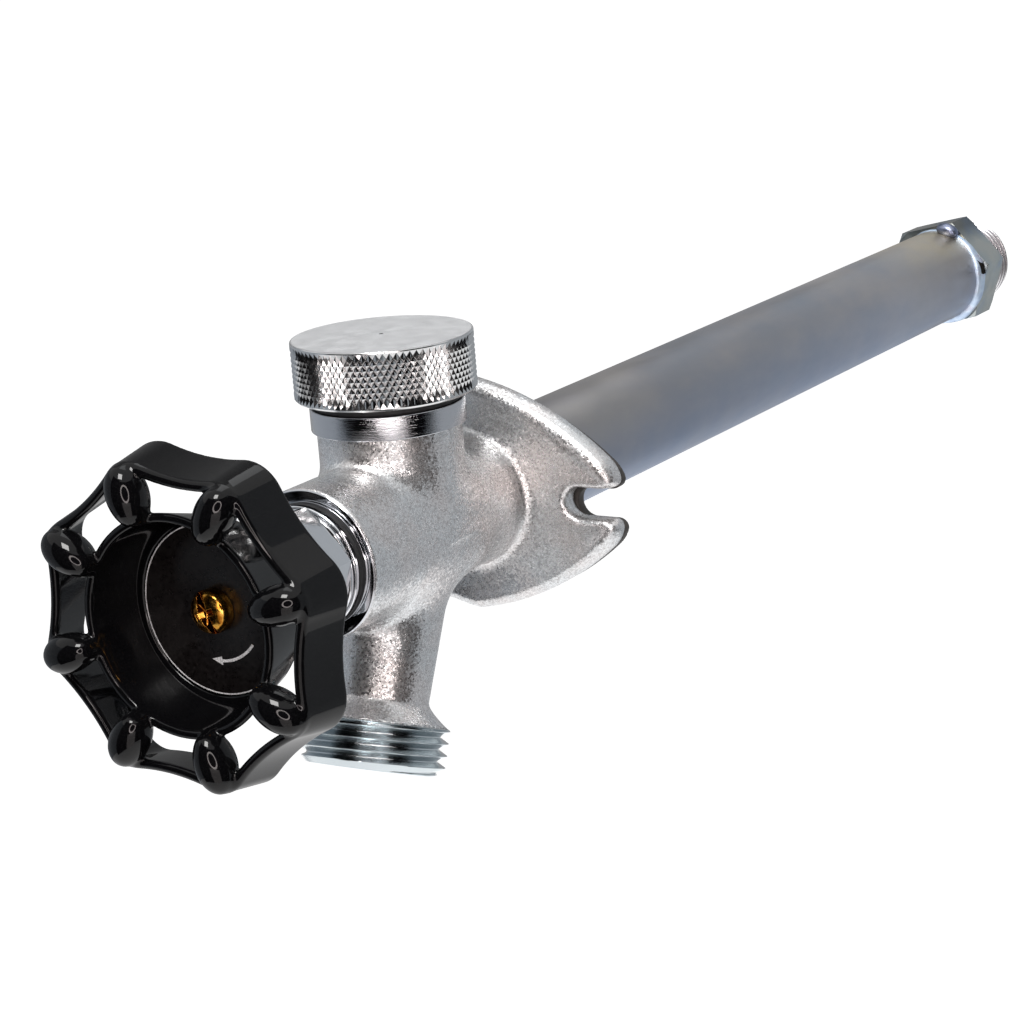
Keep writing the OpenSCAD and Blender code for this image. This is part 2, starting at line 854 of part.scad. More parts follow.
// Sealing ring between the cap and the neck's shoulder
module cap_seal_ring() {
    color("black")
        on_neck(shoulder)
            ring(band_d - 2 * cap_ring_inset, nose_d + 2 * thread_gap, cap_ring_t);
}

// Float with its stem, lifted by the water
module breaker_float() {
    color("ivory")
        on_neck(float_foot) {
            cylinder(d = float_seal_d - 2 * float_edge, h = float_t);
            cylinder(d = float_stem_d, h = guide_top - float_foot + float_stem_rise);
        }
}

// Rubber disc under the float
module float_seal() {
    color("black")
        on_neck(seal_foot)
            cylinder(d = float_seal_d, h = float_seal_t);
}

// Stem head: square end, shank through the packing, thread and the sleeve for the rod
module stem_head() {
    color("gold")
        difference() {
            union() {
                front(square_back - past)
                    translate([-square_af / 2, -square_af / 2, 0])
                        cube([square_af, square_af, square_len + past]);
                front(thread_front - past)
                    cylinder(d = stem_d, h = square_back - thread_front + past);
                front(thread_back)
                    cylinder(d = stem_thread_d, h = stem_thread_len);
                front(sleeve_back)
                    cylinder(d = sleeve_d, h = sleeve_len + past);
            }
            front(sleeve_back - past)
                cylinder(d = rod_d + 2 * thread_gap, h = rod_depth + past);
            front(square_front - screw_len)
                cylinder(d = screw_d + 2 * thread_gap, h = screw_len + past);
            across_pin()
                cylinder(d = pin_d + 2 * thread_gap, h = sleeve_d + 2 * past, center = true);
        }
}

// Long rod from the stem head to the washer holder
module stem_rod() {
    color("gold")
        difference() {
            inward(-rod_front)
                cylinder(d = rod_d, h = rod_front + rod_end);
            across_pin()
                cylinder(d = pin_d + 2 * thread_gap, h = sleeve_d + 2 * past, center = true);
            inward(clip_at)
                ring(rod_d + 2 * past, rod_d - 2 * clip_depth, clip_t + 2 * run_gap);
        }
}

// Pin through the sleeve and the rod
module rod_pin() {
    color("silver")
        across_pin()
            cylinder(d = pin_d, h = sleeve_d - 2 * pin_inset, center = true);
}

// Guides that keep the rod in the middle of the tube
module rod_guides() {
    color("white")
        for (k = [1:guide_count])
            inward(k * washer_back / (guide_count + 1))
                rod_guide();
}

module rod_guide() {
    difference() {
        union() {
            cylinder(d = rod_d + 2 * guide_wall, h = guide_len);
            intersection() {
                for (k = [0:2])
                    rotate([0, 0, 120 * k])
                        translate([0, -fin_t / 2, 0])
                            cube([tube_d, fin_t, guide_len]);
                cylinder(d = tube_bore - 2 * guide_gap, h = guide_len);
            }
        }
        translate([0, 0, -past])
            cylinder(d = rod_d + 2 * thread_gap, h = guide_len + 2 * past);
    }
}

// Split ring that keeps the rod's end in the holder and lets it turn
module swivel_clip() {
    split_w = 1.2;
    color("silver")
        inward(clip_at + run_gap)
            difference() {
                ring(rod_d + 2 * clip_depth, rod_d - 2 * clip_depth + 2 * run_gap, clip_t);
                translate([0, -split_w / 2, -past])
                    cube([rod_d, split_w, clip_t + 2 * past]);
            }
}

// Holder of the seat washer: slides in the tube without turning
module washer_holder() {
    guide_d = tube_bore - 2 * guide_gap;
    flat_at = tube_bore / 2 - holder_flat;
    color("gold")
        difference() {
            union() {
                intersection() {
                    inward(holder_front)
                        cylinder(d = guide_d, h = holder_len - holder_floor / 2);
                    inward(holder_front)
                        cylinder(r = flat_at / cos(60), h = holder_len, $fn = 3);
                }
                inward(holder_front)
                    cylinder(d = rod_d + 2 * holder_wall, h = holder_len);
                inward(washer_back - holder_floor)
                    cylinder(d = washer_d + 2 * holder_cup_wall, h = holder_cup + holder_floor);
            }
            inward(holder_front - past)
                cylinder(d = rod_d + 2 * run_gap, h = holder_socket + past);
            inward(clip_at)
                cylinder(d = rod_d + 2 * clip_depth + 4 * run_gap, h = clip_t + 2 * run_gap);
            inward(washer_back)
                cylinder(d = washer_d + 2 * thread_gap, h = holder_cup + past);
            inward(lip_end - washer_screw_len - 2 * end_gap)
                cylinder(d = washer_screw_d + 2 * thread_gap, h = washer_screw_len);
        }
}

// Rubber washer that closes on the seat
module seat_washer() {
    color("black")
        inward(washer_back)
            ring(washer_d, washer_screw_d + 2 * thread_gap, washer_t);
}

// Screw that holds the washer in its cup
module washer_screw() {
    slot_t = 1;
    slot_deep = 0.8;
    color("goldenrod")
        difference() {
            union() {
                inward(lip_end)
                    cylinder(d = washer_screw_head, h = washer_screw_rise);
                inward(lip_end - washer_screw_len)
                    cylinder(d = washer_screw_d, h = washer_screw_len + eps);
            }
            inward(lip_end + washer_screw_rise - slot_deep)
                translate([-washer_screw_head, -slot_t / 2, 0])
                    cube([2 * washer_screw_head, slot_t, slot_deep + past]);
        }
}

// Points of a star between the lobes' and the scallops' centres
function star() = [
    for (k = [0:lobes - 1], out = [0, 1])
        let(a = (2 * k + out) * half_pitch, r = out == 0 ? lobe_set : scallop_set)
            [r * cos(a), r * sin(a)]
];

// Lobed block with a drafted side, drawn in by inset; its height runs from the back to the front
module lobed_block(inset, over) {
    low = -over;
    high = rim_depth + over;
    slope = rim_flare / rim_depth;
    wide = rim_flare + over * slope;
    narrow = -over * slope;
    difference() {
        union() {
            translate([0, 0, low])
                linear_extrude(high - low)
                    polygon(star());
            for (k = [0:lobes - 1])
                rotate([0, 0, 2 * k * half_pitch])
                    translate([lobe_set, 0, low])
                        cylinder(
                            r1 = lobe_r - inset + wide,
                            r2 = lobe_r - inset + narrow,
                            h = high - low
                        );
        }
        for (k = [0:lobes - 1])
            rotate([0, 0, (2 * k + 1) * half_pitch])
                translate([scallop_set, 0, low - past])
                    cylinder(
                        r1 = scallop_r + inset - wide - slope,
                        r2 = scallop_r + inset - narrow + slope,
                        h = high - low + 2 * past
                    );
    }
}

// One arm: a wall from the bowl to the rim with a domed front
module arm() {
    round_r = arm_w / 2;
    inner = arm_inner + round_r;
    outer = arm_outer - round_r;
    dome_at = arm_front - round_r - rim_back;
    root = 1.6;
    round_drop = 3;
    translate([0, 0, arm_foot]) {
        translate([inner - root, -round_r, 0])
            cube([outer - inner + root, arm_w, dome_at - arm_foot]);
        translate([outer, 0, 0])
            cylinder(r = round_r, h = dome_at - arm_foot);
    }
    translate([inner, 0, dome_at - round_drop])
        cylinder(r = round_r, h = round_drop);
    for (r = [inner, outer])
        translate([r, 0, dome_at])
            sphere(r = round_r);
    translate([inner, 0, dome_at])
        rotate([0, 90, 0])
            cylinder(r = round_r, h = outer - inner);
}

// Bowl and hub of the handwheel
module wheel_bowl() {
    lip_r = bowl_lip_d / 2;
    floor_r = bowl_floor_d / 2;
    round_r = bowl_wall / 2;
    rotate_extrude()
        union() {
            polygon([
                [0, floor_front],
                [floor_r, floor_front],
                [lip_r, lip_front - round_r],
                [lip_r + bowl_wall, lip_front - round_r],
                [floor_r + bowl_wall, floor_front],
                [floor_r - bowl_bevel, floor_back],
                [hub_d / 2 + hub_root, floor_back],
                [hub_d / 2, floor_back - hub_root],
                [hub_d / 2 - hub_draft, hub_back],
                [0, hub_back]
            ]);
            translate([lip_r + round_r, lip_front - round_r])
                circle(r = round_r);
        }
}

// Handwheel: bowl, eight domed arms and a thin scalloped rim in one casting
module handwheel() {
    color("#161616")
        difference() {
            union() {
                front()
                    wheel_bowl();
                front(rim_back)
                    rotate([0, 0, 90 - wheel_turn]) {
                        difference() {
                            lobed_block(0, 0);
                            lobed_block(rim_t, past);
                        }
                        for (k = [0:lobes - 1])
                            rotate([0, 0, 2 * k * half_pitch])
                                arm();
                    }
            }
            front(hub_back - past)
                translate([-square_af / 2 - thread_gap, -square_af / 2 - thread_gap, 0])
                    cube([
                        square_af + 2 * thread_gap,
                        square_af + 2 * thread_gap,
                        square_front - hub_back + past + end_gap
                    ]);
            front(hub_back)
                cylinder(d = screw_d + 6 * thread_gap, h = floor_front - hub_back + past);
        }
}

// Thin index plate on the bowl's floor
module index_plate() {
    color("#0c0c0c")
        front(floor_front)
            ring(plate_d, screw_d + 6 * thread_gap, plate_t);
}

// Brass screw that holds the handwheel and the index plate on the stem
module handle_screw() {
    head_foot = floor_front + plate_t;
    dome_r = (pow(screw_head_d / 2, 2) + pow(screw_head_h, 2)) / (2 * screw_head_h);
    screw_foot = square_front - screw_len + 2 * end_gap;
    slot_t = 0.9;
    slot_deep = 1.3;
    slot_turn = 22;
    color("goldenrod")
        difference() {
            union() {
                intersection() {
                    front(head_foot)
                        cylinder(d = screw_head_d, h = screw_head_h);
                    front(head_foot + screw_head_h - dome_r)
                        sphere(r = dome_r);
                }
                front(screw_foot)
                    cylinder(d = screw_d, h = head_foot - screw_foot + eps);
            }
            for (turn = [0, 90])
                front(head_foot + screw_head_h - slot_deep)
                    rotate([0, 0, slot_turn + turn])
                        translate([-screw_head_d, -slot_t / 2, 0])
                            cube([2 * screw_head_d, slot_t, slot_deep + past]);
        }
}

body_casting();
wall_pad();
tube();
inlet_fitting();
braze_bead();
bonnet();
bonnet_gasket();
packing();
gland_ring();
packing_nut();
breaker_seat();
float_guide();
breaker_cap();
cap_seal_ring();
breaker_float();
float_seal();
stem_head();
stem_rod();
rod_pin();
rod_guides();
swivel_clip();
washer_holder();
seat_washer();
washer_screw();
handwheel();
index_plate();
handle_screw();
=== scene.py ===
import json
import math

import bmesh
import bpy
import numpy as np
from mathutils import Matrix, Vector


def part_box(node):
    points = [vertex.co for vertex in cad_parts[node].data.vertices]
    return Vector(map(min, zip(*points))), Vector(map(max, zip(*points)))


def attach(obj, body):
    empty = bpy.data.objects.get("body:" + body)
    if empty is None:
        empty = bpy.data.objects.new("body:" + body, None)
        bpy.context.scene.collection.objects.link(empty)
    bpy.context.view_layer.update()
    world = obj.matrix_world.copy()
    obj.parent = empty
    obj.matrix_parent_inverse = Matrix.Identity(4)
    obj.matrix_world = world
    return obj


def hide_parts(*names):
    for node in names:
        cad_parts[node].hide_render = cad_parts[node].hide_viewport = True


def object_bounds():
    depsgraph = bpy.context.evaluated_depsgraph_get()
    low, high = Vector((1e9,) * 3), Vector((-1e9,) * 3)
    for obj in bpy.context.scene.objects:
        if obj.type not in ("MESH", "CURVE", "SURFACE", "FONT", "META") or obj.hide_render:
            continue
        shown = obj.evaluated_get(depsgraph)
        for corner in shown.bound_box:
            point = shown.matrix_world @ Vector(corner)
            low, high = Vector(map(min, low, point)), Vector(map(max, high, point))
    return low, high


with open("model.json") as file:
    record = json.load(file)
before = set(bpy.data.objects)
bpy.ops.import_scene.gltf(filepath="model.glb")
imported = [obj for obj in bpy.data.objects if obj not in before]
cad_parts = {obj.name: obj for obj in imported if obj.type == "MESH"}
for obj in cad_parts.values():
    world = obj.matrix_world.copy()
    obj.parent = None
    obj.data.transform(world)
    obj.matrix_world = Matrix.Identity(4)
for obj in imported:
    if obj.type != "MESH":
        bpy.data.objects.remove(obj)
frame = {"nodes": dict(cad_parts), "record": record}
cad_low, cad_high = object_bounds()


# Camera
# A long lens looks down the tap from the right of its handwheel, a little above the tube,
# and is rolled a few degrees so that the tube climbs to the upper right.
camera = bpy.data.objects.new("camera", bpy.data.cameras.new("camera"))
camera.data.lens = 103.1
camera.data.sensor_width = 36.0
camera.data.clip_start = 0.01
camera.location = (0.29675, -0.44760, 0.13432)
camera_azimuth = math.radians(33.06)
camera_elevation = math.radians(14.62)
camera_roll = math.radians(-4.61)
camera_turn = (
    Matrix.Rotation(camera_azimuth, 3, "Z")
    @ Matrix.Rotation(math.pi / 2 - camera_elevation, 3, "X")
    @ Matrix.Rotation(camera_roll, 3, "Z")
)
camera.rotation_euler = camera_turn.to_euler()
bpy.context.scene.collection.objects.link(camera)
bpy.context.scene.camera = camera


# Studio
# White floor well below the tap, white surroundings, a softbox overhead and a weak one behind,
# and a ring lamp round the lens. Black cloths, a lit table and grey and blue boards stand round
# the tap, where only its polished metal shows them.
def plug(socket, value):
    """Links an output to a socket, or sets the socket's own value."""
    if isinstance(value, bpy.types.NodeSocket):
        socket.id_data.links.new(value, socket)
    else:
        socket.default_value = value


def add(material, kind, inputs=None, **settings):
    """Adds a shader node, sets it up and returns its first output."""
    made = material.node_tree.nodes.new("ShaderNode" + kind)
    for key, value in settings.items():
        setattr(made, key, value)
    for key, value in (inputs or {}).items():
        plug(made.inputs[key], value)
    return made.outputs[0]


def calculate(material, operation, *terms, kind="Math", **settings):
    """Result of a math node on numbers, vectors or outputs."""
    return add(material, kind, dict(enumerate(terms)), operation=operation, **settings)


def white_seen_by_rays(tree_owner):
    """1 for the rays that see the surroundings themselves: camera, glossy and transmission."""
    path = tree_owner.node_tree.nodes.new("ShaderNodeLightPath").outputs
    glossy = calculate(tree_owner, "ADD", path["Is Camera Ray"], path["Is Glossy Ray"])
    return calculate(tree_owner, "ADD", glossy, path["Is Transmission Ray"], use_clamp=True)


def shader_input(material, name):
    """Input of a material's main shader."""
    return material.node_tree.nodes["Principled BSDF"].inputs[name]


def new_material(name, **values):
    """Material whose main shader has these values, with _ for a space in an input's name."""
    material = bpy.data.materials.new(name)
    material.use_nodes = True
    for key, value in values.items():
        plug(shader_input(material, key.replace("_", " ")), value)
    return material


def flat_material(name, colour, glow=0.0, tint=(1, 1, 1), seen_glow=0.0):
    """Matt surface that may glow, and may glow more for the rays that see it directly."""
    values = {"Roughness": 1.0, "Specular_IOR_Level": 0.0, "Emission_Strength": glow}
    material = new_material(name, Base_Color=(*colour, 1), Emission_Color=(*tint, 1), **values)
    if seen_glow:
        strength = calculate(material, "MULTIPLY", white_seen_by_rays(material), seen_glow)
        plug(shader_input(material, "Emission Strength"), strength)
    return material


def add_mesh(name, points, faces, material):
    """Mesh of points in metres, linked to the scene."""
    mesh = bpy.data.meshes.new(name)
    mesh.from_pydata([tuple(p) for p in points], [], faces)
    mesh.materials.append(material)
    placed = bpy.data.objects.new(name, mesh)
    bpy.context.scene.collection.objects.link(placed)
    return placed


def stage_mesh(name, points, faces, material, camera_sees=False):
    """Mesh that belongs to the studio and not to the tap."""
    placed = add_mesh(name, points, faces, material)
    placed.visible_camera = camera_sees
    return placed


floor_drop = 0.42
floor_reach = 9.0
floor_z = cad_low.z - floor_drop
floor_corners = [
    (x * floor_reach, y * floor_reach, floor_z) for x, y in ((-1, -1), (1, -1), (1, 1), (-1, 1))
]
floor_white = flat_material("floor_white", (0.86, 0.86, 0.86), seen_glow=0.74)
stage_mesh("floor", floor_corners, [(0, 1, 2, 3)], floor_white, camera_sees=True)

surround = bpy.data.worlds.new("surround")
bpy.context.scene.world = surround
surround.use_nodes = True
surround_light = 0.4
background = surround.node_tree.nodes["Background"]
background.inputs["Color"].default_value = (1, 1, 1, 1)
seen_range = {"Value": white_seen_by_rays(surround), "To Min": surround_light, "To Max": 1.0}
plug(background.inputs["Strength"], add(surround, "MapRange", seen_range))

tap_middle = Vector((0.0, -0.03, 0.0))
to_camera = (camera.location - tap_middle).normalized()


def grid_faces(rows, columns, close_rows=True, close_columns=True):
    """Quads of a grid. Closing joins the last row to the first, or the last column."""
    row, column = np.meshgrid(
        np.arange(rows if close_rows else rows - 1),
        np.arange(columns if close_columns else columns - 1),
        indexing="ij",
    )
    below = row * columns
    above = (row + 1) % rows * columns
    beside = (column + 1) % columns
    faces = np.stack((below + column, below + beside, above + beside, above + column), -1)
    return faces.reshape(-1, 4)


def round_board(name, distance, sideways, upward, *look):
    """Curved board round the tap that the camera looks through: a range of angles to the camera's
    right, and a range of heights, in degrees. look is a colour, a glow and the glow's tint."""
    steps = 16
    heading = math.atan2(to_camera.y, to_camera.x)
    points = []
    for height in np.radians(np.linspace(*upward, steps + 1)):
        for turn in heading + np.radians(np.linspace(*sideways, steps + 1)):
            level = math.cos(height)
            ray = Vector((level * math.cos(turn), level * math.sin(turn), math.sin(height)))
            points.append(tap_middle + ray * distance)
    faces = grid_faces(steps + 1, steps + 1, close_rows=False, close_columns=False)
    return stage_mesh(name, points, faces.tolist(), flat_material(name, *look))


def ring_board(name, distance, inner, outer, *look):
    """Flat ring lamp round the lens, between two angles from the camera's direction."""
    around = 96
    side = Vector((0, 0, 1)).cross(to_camera).normalized()
    over = to_camera.cross(side)
    points = []
    for open_angle in (inner, outer):
        reach = math.tan(math.radians(open_angle)) * distance
        for step in range(around):
            turn = 2 * math.pi * step / around
            sideways = side * math.cos(turn) + over * math.sin(turn)
            points.append(tap_middle + to_camera * distance + sideways * reach)
    faces = grid_faces(2, around, close_rows=False)
    return stage_mesh(name, points, faces.tolist(), flat_material(name, *look))


cloth = (0.006, 0.006, 0.007)
card = (0.2, 0.2, 0.2)
round_board("left_cloth", 0.62, (-74.0, -21.0), (-42.0, 46.0), cloth)
round_board("right_cloth", 0.62, (20.0, 67.0), (-37.0, 42.0), cloth)
round_board("lens_side", 0.64, (-20.5, 20.5), (-5.0, 42.0), (0.02, 0.02, 0.022))
round_board(
    "lit_table", 0.63, (-20.0, 20.0), (-42.0, -5.0), (0.6, 0.6, 0.6), 0.95, (1.0, 0.91, 0.89)
)
ring_board("ring_lamp", 0.5, 15.5, 20.0, (1, 1, 1), 9.0, (1.0, 0.90, 0.87))
round_board("right_board", 0.66, (67.0, 160.0), (-37.0, 44.0), card, 0.38, (0.86, 0.93, 1.0))
round_board("left_board", 0.66, (-155.0, -74.0), (-36.0, 30.0), card, 0.38, (0.80, 0.89, 1.0))
round_board("rear_board", 0.66, (160.0, 220.0), (-22.0, 56.0), card, 0.22, (0.96, 0.98, 1.0))


def softbox(name, place, size, strength, colour):
    """Square area lamp aimed at the middle of the tap."""
    lamp = bpy.data.objects.new(name, bpy.data.lights.new(name, "AREA"))
    lamp.data.shape = "SQUARE"
    lamp.data.size = size
    lamp.data.energy = strength
    lamp.data.color = colour
    lamp.location = place
    lamp.rotation_euler = (tap_middle - Vector(place)).to_track_quat("-Z", "Y").to_euler()
    lamp.visible_camera = False
    bpy.context.scene.collection.objects.link(lamp)
    return lamp


softbox("overhead_softbox", (0.15, -0.55, 0.95), 0.38, 10.5, (1.0, 0.985, 0.97))
softbox("rear_softbox", (-0.1, 0.35, 0.95), 0.5, 1.2, (0.95, 0.98, 1.0))
bpy.context.scene.view_settings.view_transform = "Standard"


# Tube
# Drawn copper tube of 7/8 inch under a thin dull plate, soldered into the casting at one end
# and brazed to the inlet fitting at the other, where the heat has tinted it. Its colour also
# holds painted reflection, bluer below, and painted shade, darker towards the flange and along
# its underside by the fitting.
MM = 0.001
SHARP_BEND = 35.0


def box_mm(node):
    """Lowest and highest corner of a part, in millimetres."""
    low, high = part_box(node)
    return low / MM, high / MM


def surface_piece(name, points, faces, material, sharp=SHARP_BEND):
    """Mesh from points in millimetres, smooth except where faces meet sharply."""
    points = (np.asarray(points) * MM).tolist()
    placed = add_mesh(name, points, np.asarray(faces).tolist(), material)
    placed.data.shade_smooth()
    placed.data.set_sharp_from_angle(angle=math.radians(sharp))
    return placed


def axis_frame(origin, direction):
    """Matrix whose third column runs along a direction and whose first is level, in millimetres."""
    along = Vector(direction).normalized()
    level = Vector((1, 0, 0))
    across = along.cross(level)
    turn = Matrix((level, across, along)).transposed().to_4x4()
    return np.array(Matrix.Translation(Vector(origin)) @ turn)


FRONT = axis_frame((0, 0, 0), (0, -1, 0))
INWARD = axis_frame((0, 0, 0), (0, 1, 0))


def eased(profile, radius, steps=3):
    """Rounds the corners of a closed outline of (radius, height) points, as a broken edge is."""
    corners = [np.array(p, float) for p in profile]
    most_of_side = 0.4
    made = []
    for k, corner in enumerate(corners):
        before = corners[k - 1] - corner
        after = corners[(k + 1) % len(corners)] - corner
        sides = [np.linalg.norm(before), np.linalg.norm(after)]
        reach = min(radius, sides[0] * most_of_side, sides[1] * most_of_side)
        start = corner + before / sides[0] * reach
        end = corner + after / sides[1] * reach
        for step in range(steps + 1):
            t = step / steps
            made.append((1 - t) ** 2 * start + 2 * t * (1 - t) * corner + t**2 * end)
    return [tuple(p) for p in made]


def square_ring(inner, outer, low, high):
    """Outline of a plain ring, as (radius, height) points."""
    return [(inner, low), (outer, low), (outer, high), (inner, high)]


def lathe_points(radius, turn, height, place):
    """Points at a radius, an angle and a height along the matrix's third column."""
    radius, turn, height = np.broadcast_arrays(radius, turn, height)
    local = np.stack((radius * np.cos(turn), radius * np.sin(turn), height, 1 + 0 * height), -1)
    return (local @ place.T)[..., :3].reshape(-1, 3)


def turned(name, profile, place, material, around=144):
    """Ring turned from a closed outline of (radius, height) points, anticlockwise."""
    outline = np.array(profile)
    turn = np.arange(around) * 2 * math.pi / around
    points = lathe_points(outline[:, :1], turn, outline[:, 1:], place)
    return surface_piece(name, points, grid_faces(len(outline), around)[:, ::-1], material)


def own_place(material, stretch=(1, 1, 1)):
    """The piece's own coordinates in millimetres, stretched along its axes."""
    place = add(material, "TexCoord").node.outputs["Object"]
    return calculate(material, "MULTIPLY", place, Vector(stretch) / MM, kind="VectorMath")


def split(material, vector):
    """The parts of a vector or colour, as outputs named X, Y and Z."""
    return add(material, "SeparateXYZ", {0: vector}).node.outputs


def grain(material, size, detail=2.0, rough=0.5, stretch=(1, 1, 1)):
    """Noise on the piece whose lumps have about that size in millimetres."""
    place = own_place(material, stretch)
    inputs = {"Vector": place, "Scale": 1 / size, "Detail": detail, "Roughness": rough}
    return add(material, "TexNoise", inputs)


def ramp(material, factor, stops):
    """Colours along a factor, from (position, (r, g, b)) stops."""
    colours = add(material, "ValToRGB", {"Fac": factor})
    elements = colours.node.color_ramp.elements
    while len(elements) < len(stops):
        elements.new(0.5)
    for element, (position, colour) in zip(elements, stops):
        element.position = position
        element.color = (*colour, 1)
    return colours


def spread(material, factor, low, high, start=0.3, end=0.7):
    """Maps a factor between start and end to a range."""
    inputs = {"Value": factor, "From Min": start, "From Max": end, "To Min": low, "To Max": high}
    return add(material, "MapRange", inputs)


def blend_colour(material, factor, first, second, kind="MIX"):
    """Mixes two colours, by a factor that is a number or an output."""
    mixed = material.node_tree.nodes.new("ShaderNodeMix")
    mixed.data_type = "RGBA"
    mixed.blend_type = kind
    plug(mixed.inputs["Factor"], factor)
    plug(mixed.inputs[6], first)
    plug(mixed.inputs[7], second)
    return mixed.outputs[2]


def rough_skin(material, height, depth, strength=1.0):
    """Bump of a real depth in millimetres."""
    bump = {"Height": height, "Distance": depth * MM, "Strength": strength}
    plug(shader_input(material, "Normal"), add(material, "Bump", bump))


def coloured(material, film):
    """The material, once its colour is taken from an output."""
    plug(shader_input(material, "Base Color"), film)
    return material


def finish(name, colour, metallic, roughness, film=None, smears=None, bumps=None, **values):
    """Material of a piece. film is a grain and colour stops, smears a grain and two
    roughnesses, and bumps a grain, a depth in millimetres and a strength."""
    values |= {"Base_Color": (*colour, 1), "Metallic": metallic, "Roughness": roughness}
    material = new_material(name, **values)
    if film:
        coloured(material, ramp(material, grain(material, *film[0]), film[1]))
    if smears:
        rough = spread(material, grain(material, *smears[0]), smears[1], smears[2])
        plug(shader_input(material, "Roughness"), rough)
    if bumps:
        rough_skin(material, grain(material, *bumps[0]), bumps[1], bumps[2])
    return material


tube_low, tube_high = box_mm("tube")
tube_wall = 1.0
hair_gap = 0.05  # keeps the faces of two pieces out of one plane
heat_start = tube_high.y - 44.0
heat_end = tube_high.y - 8.0


def tube_plate():
    """Dull plate with drawn lines and soft stains, and heat tints by the fitting. Painted
    reflection makes it bluer below, and painted shade darkens it towards the flange and along
    its underside by the fitting.
    """
    smears = (6.0, 3.0, 0.6, (1, 0.3, 1)), 0.32, 0.47
    bumps = (0.5, 3.0, 0.6, (1, 0.02, 1)), 0.012, 0.6
    material = finish("tube_plate", (0.3, 0.32, 0.36), 1.0, 0.4, smears=smears, bumps=bumps)
    stain_stops = [
        (0.30, (0.300, 0.335, 0.395)),
        (0.46, (0.345, 0.362, 0.405)),
        (0.56, (0.380, 0.385, 0.412)),
        (0.70, (0.415, 0.415, 0.425)),
    ]
    film = ramp(material, grain(material, 17.0, 4.0, 0.55, (1, 0.55, 1)), stain_stops)
    place = split(material, own_place(material))
    under = spread(material, place["Z"], 0.0, 1.0, -tube_high.x, tube_high.x)
    # Painted reflection: bluer on the lower side, a little warmer on top.
    blue = ramp(material, under, [(0.25, (0.95, 1.04, 1.2)), (0.8, (1.04, 1.0, 0.96))])
    film = blend_colour(material, 1.0, film, blue, "MULTIPLY")
    # Painted shade and light: darker towards the flange, lighter towards the fitting.
    far = spread(material, place["Y"], 0.78, 1.14, tube_low.y, tube_high.y)
    film = blend_colour(material, 1.0, film, far, "MULTIPLY")
    # Heat tints by the fitting. The darkest stop is painted shadow along the underside, and the blue
    # stop is painted reflection on the lower side.
    heat_tint_and_shade_stops = [
        (0.05, (0.080, 0.070, 0.090)),
        (0.17, (0.330, 0.370, 0.470)),
        (0.38, (0.340, 0.350, 0.400)),
        (0.60, (0.335, 0.320, 0.330)),
        (0.78, (0.360, 0.330, 0.300)),
        (0.90, (0.600, 0.530, 0.400)),
    ]
    patches = spread(material, grain(material, 8.0, 3.0, 0.6), 0.7, 1.0, 0.4, 0.6)
    heat = spread(material, place["Y"], 0.0, 1.0, heat_start, heat_end)
    heat = calculate(material, "MULTIPLY", heat, patches)
    tinted = blend_colour(material, heat, film, ramp(material, under, heat_tint_and_shade_stops))
    return coloured(material, tinted)


tube_profile = square_ring(tube_high.x - tube_wall, tube_high.x, tube_low.y, tube_high.y - hair_gap)
tube = turned("plated_tube", eased(tube_profile, 0.2), INWARD, tube_plate())
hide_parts("tube")
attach(tube, "valve")


# Inlet fitting
# Machined hexagon with a seat inside and a threaded stub, brazed onto the tube. The plate over
# the hexagon is dull and green-grey and bluer in patches, with painted shade that darkens it
# towards its top flat, and the stub's thread is coloured dark in its roots and bright on its crests.
inlet_high = box_mm("inlet_fitting")[1]
bead_low, bead_high = box_mm("braze_bead")
mounts = {mount["name"]: mount for mount in frame["record"]["mounts"]}
hex_start = tube_high.y
hex_length = 9.9
hex_end = hex_start + hex_length
hex_flats = 23.85
hex_turn = 17.6
hex_bevel = 0.9
pipe_crest = mounts["pipe_thread"]["dims"]["r_mm"]
pipe_pitch = 1.814
cup_radius = mounts["inlet_cup"]["dims"]["r_mm"]
cup_depth = mounts["inlet_cup"]["dims"]["length_mm"]


def faceted(name, rows, flats, turn, place, material):
    """Hexagonal bar in the lathe: rows of (radius, height) points, cut down to the flats."""
    around = 6 * 28
    angle = np.arange(around) * 2 * math.pi / around
    within = np.mod(angle, math.pi / 3) - math.pi / 6
    outline = np.array(rows)
    radius = np.minimum(outline[:, :1], flats / 2 / np.cos(within))
    points = lathe_points(radius, angle + math.radians(90 - turn), outline[:, 1:], place)
    return surface_piece(name, points, grid_faces(len(rows), around)[:, ::-1], material, 20.0)


dark_from = 8.0
dark_to = 11.6


def dull_plate():
    """Dull green-grey plate with blue patches, and painted shade towards the hexagon's top flat."""
    smears, bumps = ((3.0, 3.0, 0.6), 0.28, 0.45), ((0.4, 2.0), 0.01, 0.6)
    material = finish("dull_plate", (0.4, 0.43, 0.42), 1.0, 0.36, smears=smears, bumps=bumps)
    patches = [(0.34, (0.26, 0.32, 0.40)), (0.50, (0.33, 0.36, 0.36)), (0.64, (0.38, 0.39, 0.37))]
    film = ramp(material, grain(material, 8.0), patches)
    # Painted shade: the colour darkens towards the hexagon's top flat.
    height = split(material, own_place(material))["Z"]
    painted_top_shade = spread(material, height, 1.2, 0.45, dark_from, dark_to)
    film = blend_colour(material, 1.0, film, painted_top_shade, "MULTIPLY")
    return coloured(material, film)


def hex_rows(start, end, corner, bevel, inner):
    """Rows of a hexagonal bar with both corners turned down in the lathe."""
    drop = bevel * 0.6
    rise = [(corner - bevel * (1 - t), start + drop * t) for t in np.linspace(0, 1, 7)]
    fall = [(corner - bevel * t, end - drop * (1 - t)) for t in np.linspace(0, 1, 7)]
    return [(inner, start), *rise, *fall, (inner, end)]


